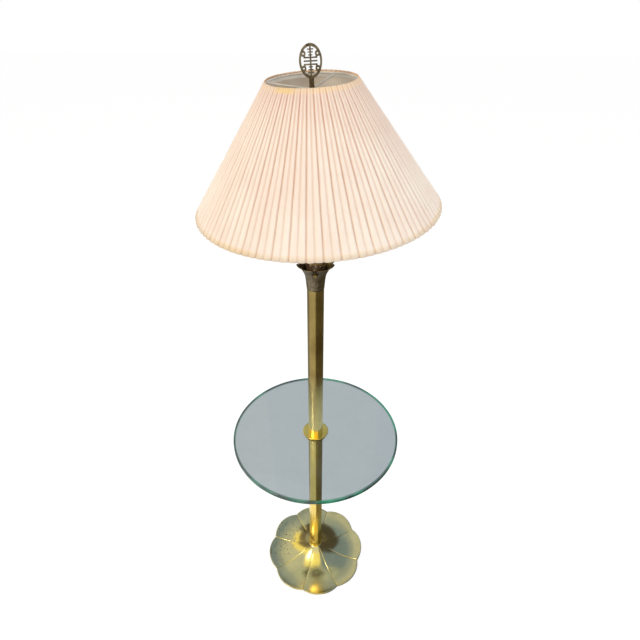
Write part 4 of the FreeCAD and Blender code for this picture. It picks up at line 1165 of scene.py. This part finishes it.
@dataclass
class Capital(Assembly):
    """The cup of eight leaves on the column."""

    finishes = {"leaf_nut": ZINC_STEEL}
    leaves: int = 8
    level: float = 989.0
    foot: float = 17.6
    height: float = 58.0
    reach: float = 37.5
    curl: float = 2.6
    tip_rows: int = 4
    tip_narrowing: float = 0.45
    wall: float = 1.2
    gap_start: float = 52.0
    gap_width: float = 3.6
    gap_flare: float = 6.5
    gap_bulge: float = 2.2
    flutes: int = 4
    flute_depth: float = 0.6
    row_pitch: float = 2.2
    columns: int = 25
    eye: float = 5.1
    knob_level: float = 1033.0
    knob_hole: float = 5.7

    def profile(self) -> list[Pair]:
        """Follows a leaf from its foot to its curled tip.

        Returns:
            Pairs of radius and level.
        """
        swell = self.reach - self.foot
        shares = ((0.0, 0.0), (0.12, 0.035), (0.22, 0.062), (0.33, 0.09), (0.43, 0.13),
                  (0.52, 0.18), (0.60, 0.255), (0.68, 0.36), (0.75, 0.475), (0.82, 0.60),
                  (0.88, 0.735), (0.94, 0.88), (0.975, 0.965))
        crest = self.height - self.wall / 2
        return [(self.foot + swell * gained, self.height * risen) for risen, gained in shares] + [
            (self.reach + 0.6, crest), (self.reach + 1.6, crest - 0.3),
            (self.reach + self.curl - 0.3, crest - 1.5)]

    def gap(self, level: float) -> float:
        """Finds how wide the gap between two leaves is.

        Args:
            level: the height above the leaves' foot.

        Returns:
            Half the gap's width.
        """
        radius = self.gap_width / 2
        middle = self.gap_start + radius
        if level < self.gap_start:
            return 0.0
        if level < middle:
            return math.sqrt(max(0.0, radius ** 2 - (middle - level) ** 2))
        share = (level - middle) / (self.height + radius - middle)
        bend = 4 * self.gap_bulge - self.gap_flare
        return radius + bend * share + (self.gap_flare - bend) * share ** 2

    def leaf(self) -> Piece:
        """Makes one fluted leaf with its share of the floor.

        Returns:
            The leaf's skin.
        """
        least_width, widest_gap, flute_fade = math.radians(2.2), 0.98, 3.0
        profile = [(self.eye, 0.0), (11.0, 0.0), (self.foot - 0.6, 0.0)]
        walls = self.profile()
        for (r0, z0), (r1, z1) in zip(walls, walls[1:]):
            count = max(1, round(math.hypot(r1 - r0, z1 - z0) / self.row_pitch))
            profile += [(r0 + (r1 - r0) * i / count, z0 + (z1 - z0) * i / count)
                        for i in range(count)]
        profile += walls[-1:]
        points: list[Triple] = []
        for index, (radius, level) in enumerate(profile):
            narrow = math.asin(min(widest_gap, self.gap(level) / radius))
            tip = max(0.0, (index - len(profile) + self.tip_rows) / self.tip_rows)
            width = (max(math.pi / self.leaves - narrow, least_width)
                     * (1 - self.tip_narrowing * tip))
            fade = min(1.0, level / flute_fade) * (1 - 0.6 * tip)
            for column in range(self.columns):
                side = 2 * column / (self.columns - 1) - 1
                ridge = abs(math.sin(math.pi * self.flutes * (side + 1) / 2))
                depth = self.flute_depth * (1 - ridge ** 0.7) * fade
                points.append(round_point(radius - depth, side * width, level))
        return mesh_piece("bronze_leaves", points, grid_faces(len(profile), self.columns))

    def pieces(self) -> Iterator[Piece]:
        """Makes the leaves, with a notch at the front and the switch knob's hole below it.

        Yields:
            The leaves, in place.
        """
        piece = self.leaf()
        RoundRepeat(self.leaves, merge_mm=0.05).apply(piece, self.wardrobe.material(DARK_BRONZE))
        thicken(piece, self.wall)
        turn = Matrix.Rotation(math.radians(-90 - 180 / self.leaves), 4, "Z")
        piece.data.transform(Matrix.Translation((0, 0, self.level * MM)) @ turn)
        drilled(piece, self.knob_hole, (0, 0, self.knob_level), (0, -2 * self.reach, 0))
        yield self.stand_for(piece, "capital_leaves", "lamp", "bronze", DARK_BRONZE)


@dataclass
class SwitchCup(Assembly):
    """The cup with its rotary switch."""

    finishes = {"cup_nut": ZINC_STEEL, "switch_cup": LIGHTENED_COPPER, "cup_lid": LIGHTENED_COPPER,
                "switch_body": PHENOLIC, "switch_nut": DULL_BRASS, "switch_knob": DULL_BRASS}


@dataclass
class Socket(Assembly):
    """The lamp socket and its bulb."""

    finishes = {"socket_cap": TURNED_BRASS, "socket_shell": TURNED_BRASS, "socket_liner": CARD,
                "socket_body": PHENOLIC, "screw_shell": ALUMINIUM, "centre_contact": TURNED_BRASS,
                "bulb_base": ALUMINIUM, "bulb_glass": BULB_GLASS}


@dataclass
class Harp(Assembly):
    """The bent wire that carries the shade."""

    finishes = {"harp_saddle": HARP_NICKEL, "harp_wire": HARP_NICKEL,
                "harp_sleeve_right": HARP_NICKEL, "harp_sleeve_left": HARP_NICKEL,
                "harp_stud": TURNED_BRASS}


@dataclass
class Shade(Assembly):
    """Pleated cloth over a stiff liner, taped to two rings."""

    finishes = {"shade_bottom_ring": ZINC_STEEL, "shade_spider": WHITE_PAINT}
    frame: Lean = Lean((-5.396, -11.416, 1370.951), 3.53, 213.3)
    top: float = 17.0
    length: float = 213.7
    bottom_radius: float = 228.0
    top_radius: float = 77.4
    pleats: int = 104
    depth_share: float = 0.02
    shallow: float = 0.7
    valley: float = 0.77
    rim_depth: float = 0.5
    rows: int = 26
    scallop: float = 0.2
    ripple: float = 1.1
    ripple_size: float = 42.0
    cloth: float = 0.55
    gap: float = 0.3
    liner: float = 0.8
    liner_inset: float = 0.9
    tape_width: float = 9.0
    tape: float = 0.6
    stand_up: float = 3.0
    band_rows: int = 8
    band_columns: int = 240

    def slant(self) -> float:
        """The length of the shade's side, in millimetres."""
        return math.hypot(self.length, self.bottom_radius - self.top_radius)

    def fold(self) -> list[Pair]:
        """Draws two knife pleats across. Every second pleat was pressed less deep.

        Returns:
            Pairs of the share of a pitch and the share of the depth.
        """
        one = [(0.0, 0.12), (0.08, 0.04), (0.2, 0.0), (0.34, 0.02), (0.48, 0.1), (0.6, 0.26),
               (0.69, 0.6), (self.valley, 1.0), (0.84, 0.66), (0.91, 0.36), (0.965, 0.2)]
        second = [(1 + turn, sunk * (self.shallow if sunk > 0.3 else 1)) for turn, sunk in one]
        return one + second + [(2.0, 0.12)]

    def pleat_pair(self) -> Piece:
        """Makes two pleats from rim to rim, with their place on the cloth.

        Returns:
            Their outer skin.
        """
        pitch, fold, rim_fade = math.tau / self.pleats, self.fold(), 9
        points: list[Triple] = []
        places: list[Pair] = []
        turns: list[Pair] = []
        for row in range(self.rows + 1):
            share = row / self.rows
            outer = self.bottom_radius + (self.top_radius - self.bottom_radius) * share
            pressed = self.rim_depth + (1 - self.rim_depth) * min(1.0, share * rim_fade)
            depth = self.depth_share * outer * pressed
            drawn_in = self.scallop * math.sin(math.pi * share)
            level = self.top - self.length * (1 - share)
            across, before = 0.0, None
            for turn, sunk in fold:
                here = Vector(round_point(outer - depth * sunk - drawn_in, pitch * turn, level))
                across += (here - before).length if before else 0.0
                before = here
                points.append(tuple(here))
                places.append((across * MM, share * self.slant() * MM))
                turns.append((turn, share))
        return mesh_piece("pleated_cloth", points, grid_faces(self.rows + 1, len(fold)), places,
                          turns)

    def developed_width(self) -> float:
        """Adds up the folds along the bottom rim as if they lay flat.

        Returns:
            Their length in metres.
        """
        fold, pitch, width = self.fold(), math.tau / self.pleats, 0.0
        for (t0, s0), (t1, s1) in zip(fold, fold[1:]):
            r0, r1 = (self.bottom_radius * (1 - self.depth_share * s) for s in (s0, s1))
            width += math.hypot(r1 - r0, (r0 + r1) / 2 * pitch * (t1 - t0))
        return width * (self.pleats // 2 * MM)

    def cloth_piece(self) -> Piece:
        """Folds the whole cloth and logs its cut size.

        Returns:
            The pleated cloth.
        """
        piece = self.pleat_pair()
        repeat = RoundRepeat(self.pleats // 2, merge_mm=0.01, ripple_mm=self.ripple,
                             ripple_size_mm=self.ripple_size)
        repeat.apply(piece, self.wardrobe.material(PLEAT_CLOTH))
        flat_area = sum(face.area for face in piece.data.polygons)
        width, length = self.developed_width(), self.slant() * MM
        thicken(piece, self.cloth)
        piece.data.transform(self.frame.matrix())
        self.stand_for(piece, "shade_pleats", "shade", "pleat_cloth", PLEAT_CLOTH)
        log.info("pleated cloth: %.3f by %.3f m flat, %.3f square metres", width, length, flat_area)
        return piece

    def band(self, name: str, low: Pair, high: Pair, wall: float, bulge: float, lap: float
             ) -> Piece:
        """Makes a conical band with a slight belly and a lapped joint at the back.

        Args:
            name: the piece's name.
            low: its outer radius and level at the bottom.
            high: its outer radius and level at the top.
            wall: its thickness.
            bulge: how far its middle stands in from a straight side.
            lap: how far its two ends stand in at the joint.

        Returns:
            The band.
        """
        rows, columns, lap_fade = self.band_rows, self.band_columns, 1.5
        points: list[Triple] = []
        places: list[Pair] = []
        side = math.hypot(high[0] - low[0], high[1] - low[1])
        for row in range(rows + 1):
            share = row / rows
            radius = low[0] + (high[0] - low[0]) * share - bulge * math.sin(math.pi * share)
            level = low[1] + (high[1] - low[1]) * share
            for column in range(columns + 1):
                swing = math.tau * column / columns
                near = min(1.0, column * lap_fade, (columns - column) * lap_fade + 0.01)
                points.append(round_point(radius - lap * (1 - near), swing + math.pi / 2, level))
                places.append((swing * radius * MM, share * side * MM))
        piece = mesh_piece(name, points, grid_faces(rows + 1, columns + 1), places)
        settle(piece, merge_mm=0.001)
        thicken(piece, wall)
        piece.data.transform(self.frame.matrix())
        return piece

    def pieces(self) -> Iterator[Piece]:
        """Makes the cloth, the liner and the two tapes.

        Yields:
            Each piece, in place.
        """
        yield self.cloth_piece()
        bottom, top = self.top - self.length, self.top - self.stand_up
        inset = self.liner_inset + self.gap
        slope = (self.bottom_radius - self.top_radius) / self.length
        low = self.bottom_radius * (1 - self.depth_share) - inset
        high = self.top_radius * (1 - self.depth_share) - inset + slope * self.stand_up
        liner = self.band("shade_lining", (low, bottom), (high, top), self.liner, 0.0, 0.2)
        yield self.stand_for(liner, "shade_liner", "shade", "liner", LINER)
        inner = self.liner + self.gap
        reach = slope * self.tape_width
        bands = (("top_ring_tape", "shade_top_tape", (high + reach - inner, top - self.tape_width),
                  (high - inner, top)),
                 ("bottom_ring_tape", "shade_bottom_tape", (low - inner, bottom),
                  (low - reach - inner, bottom + self.tape_width)))
        for name, solid, start, end in bands:
            tape = self.band(name, start, end, self.tape, 0.25, 0.1)
            self.stand_for(tape, solid, "shade", "tape", TAPE)
            around = math.tau * max(start[0], end[0]) * MM
            yield tape


@dataclass
class Finial(Assembly):
    """The turned neck and its openwork oval."""

    finishes = {"finial_neck": DARK_BRONZE}
    rounding: float = 0.3

    def pieces(self) -> Iterator[Piece]:
        """Makes the fretwork with its cast edges rounded."""
        piece = softened_copy("openwork_oval", self.nodes["finial_medallion"], self.rounding)
        yield self.stand_for(piece, "finial_medallion", "finial", "bronze", DARK_BRONZE)


# ---------------------------------------------------------------- stage, light and camera

@dataclass(frozen=True)
class Studio:
    """A pale floor under a white sky, a soft key lamp at the left, a fill, and cards to mirror."""

    floor: str = "eeeeec"
    seen_floor: str = "8c8c8b"
    sky_strength: float = 0.5
    floor_glow: float = 0.86
    floor_half: float = 14.0
    card_level: float = 0.001
    card_distance: float = 6.0
    middle: Triple = (0.0, 0.0, 0.8)

    def seen(self, tree: Tree) -> Output:
        """Tells the rays that see the studio from those that only light it.

        Args:
            tree: the tree that gets the nodes.

        Returns:
            1 for rays from the eye, a mirror or through glass, and 0 for the rest.
        """
        path = node(tree, "ShaderNodeLightPath").outputs
        first = maths(tree, "MAXIMUM", path["Is Camera Ray"], path["Is Glossy Ray"])
        return maths(tree, "MAXIMUM", first, path["Is Transmission Ray"])

    def world(self) -> None:
        """Makes the sky: soft light, and plain white to the eye."""
        world = bpy.data.worlds.new("studio_sky")
        bpy.context.scene.world = world
        world.use_nodes = True
        tree = world.node_tree
        tree.nodes.clear()
        light, white = (node(tree, "ShaderNodeBackground", {
            "Color": linear(WHITE), "Strength": strength}).outputs[0]
            for strength in (self.sky_strength, 1.0))
        both = node(tree, "ShaderNodeMixShader", {0: self.seen(tree), 1: light, 2: white})
        node(tree, "ShaderNodeOutputWorld", {"Surface": both.outputs[0]})

    def level_mesh(self, name: str, low: Pair, high: Pair, level: float) -> Mesh:
        """Makes a level rectangle.

        Args:
            name: the mesh's name.
            low: its corner with the lowest X and Y, in metres.
            high: its opposite corner.
            level: how high it lies.

        Returns:
            The mesh.
        """
        mesh = bpy.data.meshes.new(name)
        mesh.from_pydata([(low[0], low[1], level), (high[0], low[1], level),
                          (high[0], high[1], level), (low[0], high[1], level)], [], [(0, 1, 2, 3)])
        return mesh

    def ground(self) -> None:
        """Makes the pale floor, which keeps the lamp's shadow."""
        half = self.floor_half
        mesh = self.level_mesh("studio_floor", (-half, -half), (half, half), 0.0)
        floor = new_piece("studio_floor", mesh)
        surface = Surface("matt_white_floor")
        seen = self.seen(surface.tree)
        matt = surface.add("ShaderNodeBsdfDiffuse", {
            "Color": surface.mix(seen, self.floor, self.seen_floor)})
        glow = surface.add("ShaderNodeEmission", {
            "Color": linear(WHITE), "Strength": surface.times(seen, self.floor_glow)})
        mesh.materials.append(surface.close(
            surface.add("ShaderNodeAddShader", {0: matt, 1: glow})))

    def lamp(self, name: str, place: Triple, size: float, power: float, colour: str,
             mirrored: bool = False) -> None:
        """Adds a soft square lamp that looks at the lamp's middle.

        Args:
            name: the lamp's name.
            place: where it stands, in metres.
            size: its side in metres.
            power: its power in watts.
            colour: its colour.
            mirrored: whether polished surfaces mirror the lamp itself.
        """
        data = bpy.data.lights.new(name, "AREA")
        data.shape = "SQUARE"
        data.size = size
        data.energy = power
        data.color = linear(colour)[:3]
        lamp = bpy.data.objects.new(name, data)
        lamp.location = place
        lamp.visible_glossy = mirrored
        lamp.rotation_mode = "QUATERNION"
        aim = Vector(self.middle) - Vector(place)
        lamp.rotation_quaternion = aim.to_track_quat("-Z", "Y")
        bpy.context.scene.collection.objects.link(lamp)

    def card(self, name: str, mesh: Mesh, shade: str, strength: float = 1.0) -> None:
        """Makes a card that only polished surfaces mirror.

        Args:
            name: the card's name.
            mesh: its mesh.
            shade: its colour.
            strength: how bright it is, where 1 is its colour as written.
        """
        card = new_piece(name, mesh)
        surface = Surface(name)
        mesh.materials.append(surface.close(
            surface.add("ShaderNodeEmission", {"Color": linear(shade), "Strength": strength})))
        for ray in ("camera", "diffuse", "transmission", "volume_scatter", "shadow"):
            setattr(card, f"visible_{ray}", False)

    def floor_card(self, name: str, low: Pair, high: Pair, shade: str) -> None:
        """Lays a card on the floor, from corner to corner in metres, for the tubes to mirror."""
        self.card(name, self.level_mesh(name, low, high, self.card_level), shade)

    def sky_card(self, name: str, azimuths: Pair, heights: Pair, shade: str,
                 strength: float = 1.0) -> None:
        """Hangs a curved card far round the lamp for the dish to mirror.

        Args:
            name: the card's name.
            azimuths: where it starts and ends round the lamp, in degrees from +X.
            heights: how high above the horizon it starts and ends, in degrees.
            shade: its colour.
            strength: how bright it is.
        """
        rows, columns, distance = 6, 24, self.card_distance
        points = []
        for row in range(rows + 1):
            height = math.radians(heights[0] + (heights[1] - heights[0]) * row / rows)
            for column in range(columns + 1):
                swing = math.radians(azimuths[0] + (azimuths[1] - azimuths[0]) * column / columns)
                points.append(round_point(distance * math.cos(height), swing,
                                          distance * math.sin(height)))
        mesh = bpy.data.meshes.new(name)
        mesh.from_pydata(points, [], grid_faces(rows + 1, columns + 1))
        self.card(name, mesh, shade, strength)

    def build(self) -> None:
        """Sets the whole studio."""
        self.world()
        self.ground()
        self.lamp("key_left", (-2.2, -2.0, 2.9), 1.2, 50.0, "fff6ea", mirrored=True)
        self.lamp("fill_right", (2.6, -1.4, 1.8), 2.0, 30.0, "f4f6ff")
        self.lamp("top_soft", (0.2, 0.6, 3.6), 2.4, 20.0, WHITE)
        self.floor_card("dark_floor_right", (0.03, -3.0), (3.0, 3.0), "7a725f")
        self.floor_card("grey_floor_back", (-3.0, 0.15), (0.02, 3.0), "b8b8b2")
        for card in (("dark_card_right", (-50, 106), (0, 38), "5b5750"),
                     ("brown_card_left", (106, 250), (0, 23), "8a7e70"),
                     ("warm_card_left", (112, 200), (23, 42), "fff09c", 1.6),
                     ("warm_card_front", (200, 310), (38, 80), "fff2a4", 1.6),
                     ("blue_card_right", (-50, 78), (38, 90), "9bb3dc"),
                     ("pale_card_back", (78, 100), (38, 90), "bbcbe4"),
                     ("white_card_left", (100, 200), (38, 90), "e6edf4"),
                     ("pale_card_top", (200, 310), (80, 90), "bbcbe4")):
            self.sky_card(*card)


@dataclass(frozen=True)
class Camera:
    """The photograph's camera: above and before the lamp, looking down."""

    place: Triple = (0.0098, -0.8884, 1.5113)
    pitch: float = 34.319
    roll: float = 0.3325
    lens: float = 27.508
    sensor: float = 36.0
    clip: Pair = (0.01, 60.0)

    def build(self) -> None:
        """Makes the camera and gives it to the scene."""
        data = bpy.data.cameras.new("photo_camera")
        data.lens = self.lens
        data.sensor_width = self.sensor
        data.clip_start, data.clip_end = self.clip
        camera = bpy.data.objects.new("photo_camera", data)
        down, turn = math.radians(self.pitch), math.radians(self.roll)
        ahead = Vector((0, math.cos(down), -math.sin(down)))
        right, up = Vector((1, 0, 0)), Vector((0, math.sin(down), math.cos(down)))
        across = math.cos(turn) * right + math.sin(turn) * up
        upward = -math.sin(turn) * right + math.cos(turn) * up
        axes = Matrix((across, upward, -ahead)).transposed().to_4x4()
        camera.matrix_world = Matrix.Translation(self.place) @ axes
        bpy.context.scene.collection.objects.link(camera)
        bpy.context.scene.camera = camera


def main() -> None:
    """Loads the frame, builds the lamp's sub-assemblies and sets the studio and the camera."""
    logging.basicConfig(level=logging.INFO, format="%(message)s")
    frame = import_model()
    bpy.context.scene.view_settings.view_transform = "Standard"
    Camera().build()
    wardrobe = Wardrobe()
    for assembly in (Foot, Column, GlassTable, Capital, SwitchCup, Socket, Harp, Shade, Finial):
        assembly(frame["nodes"], wardrobe).build()
    Studio().build()


if __name__ == "__main__":
    main()
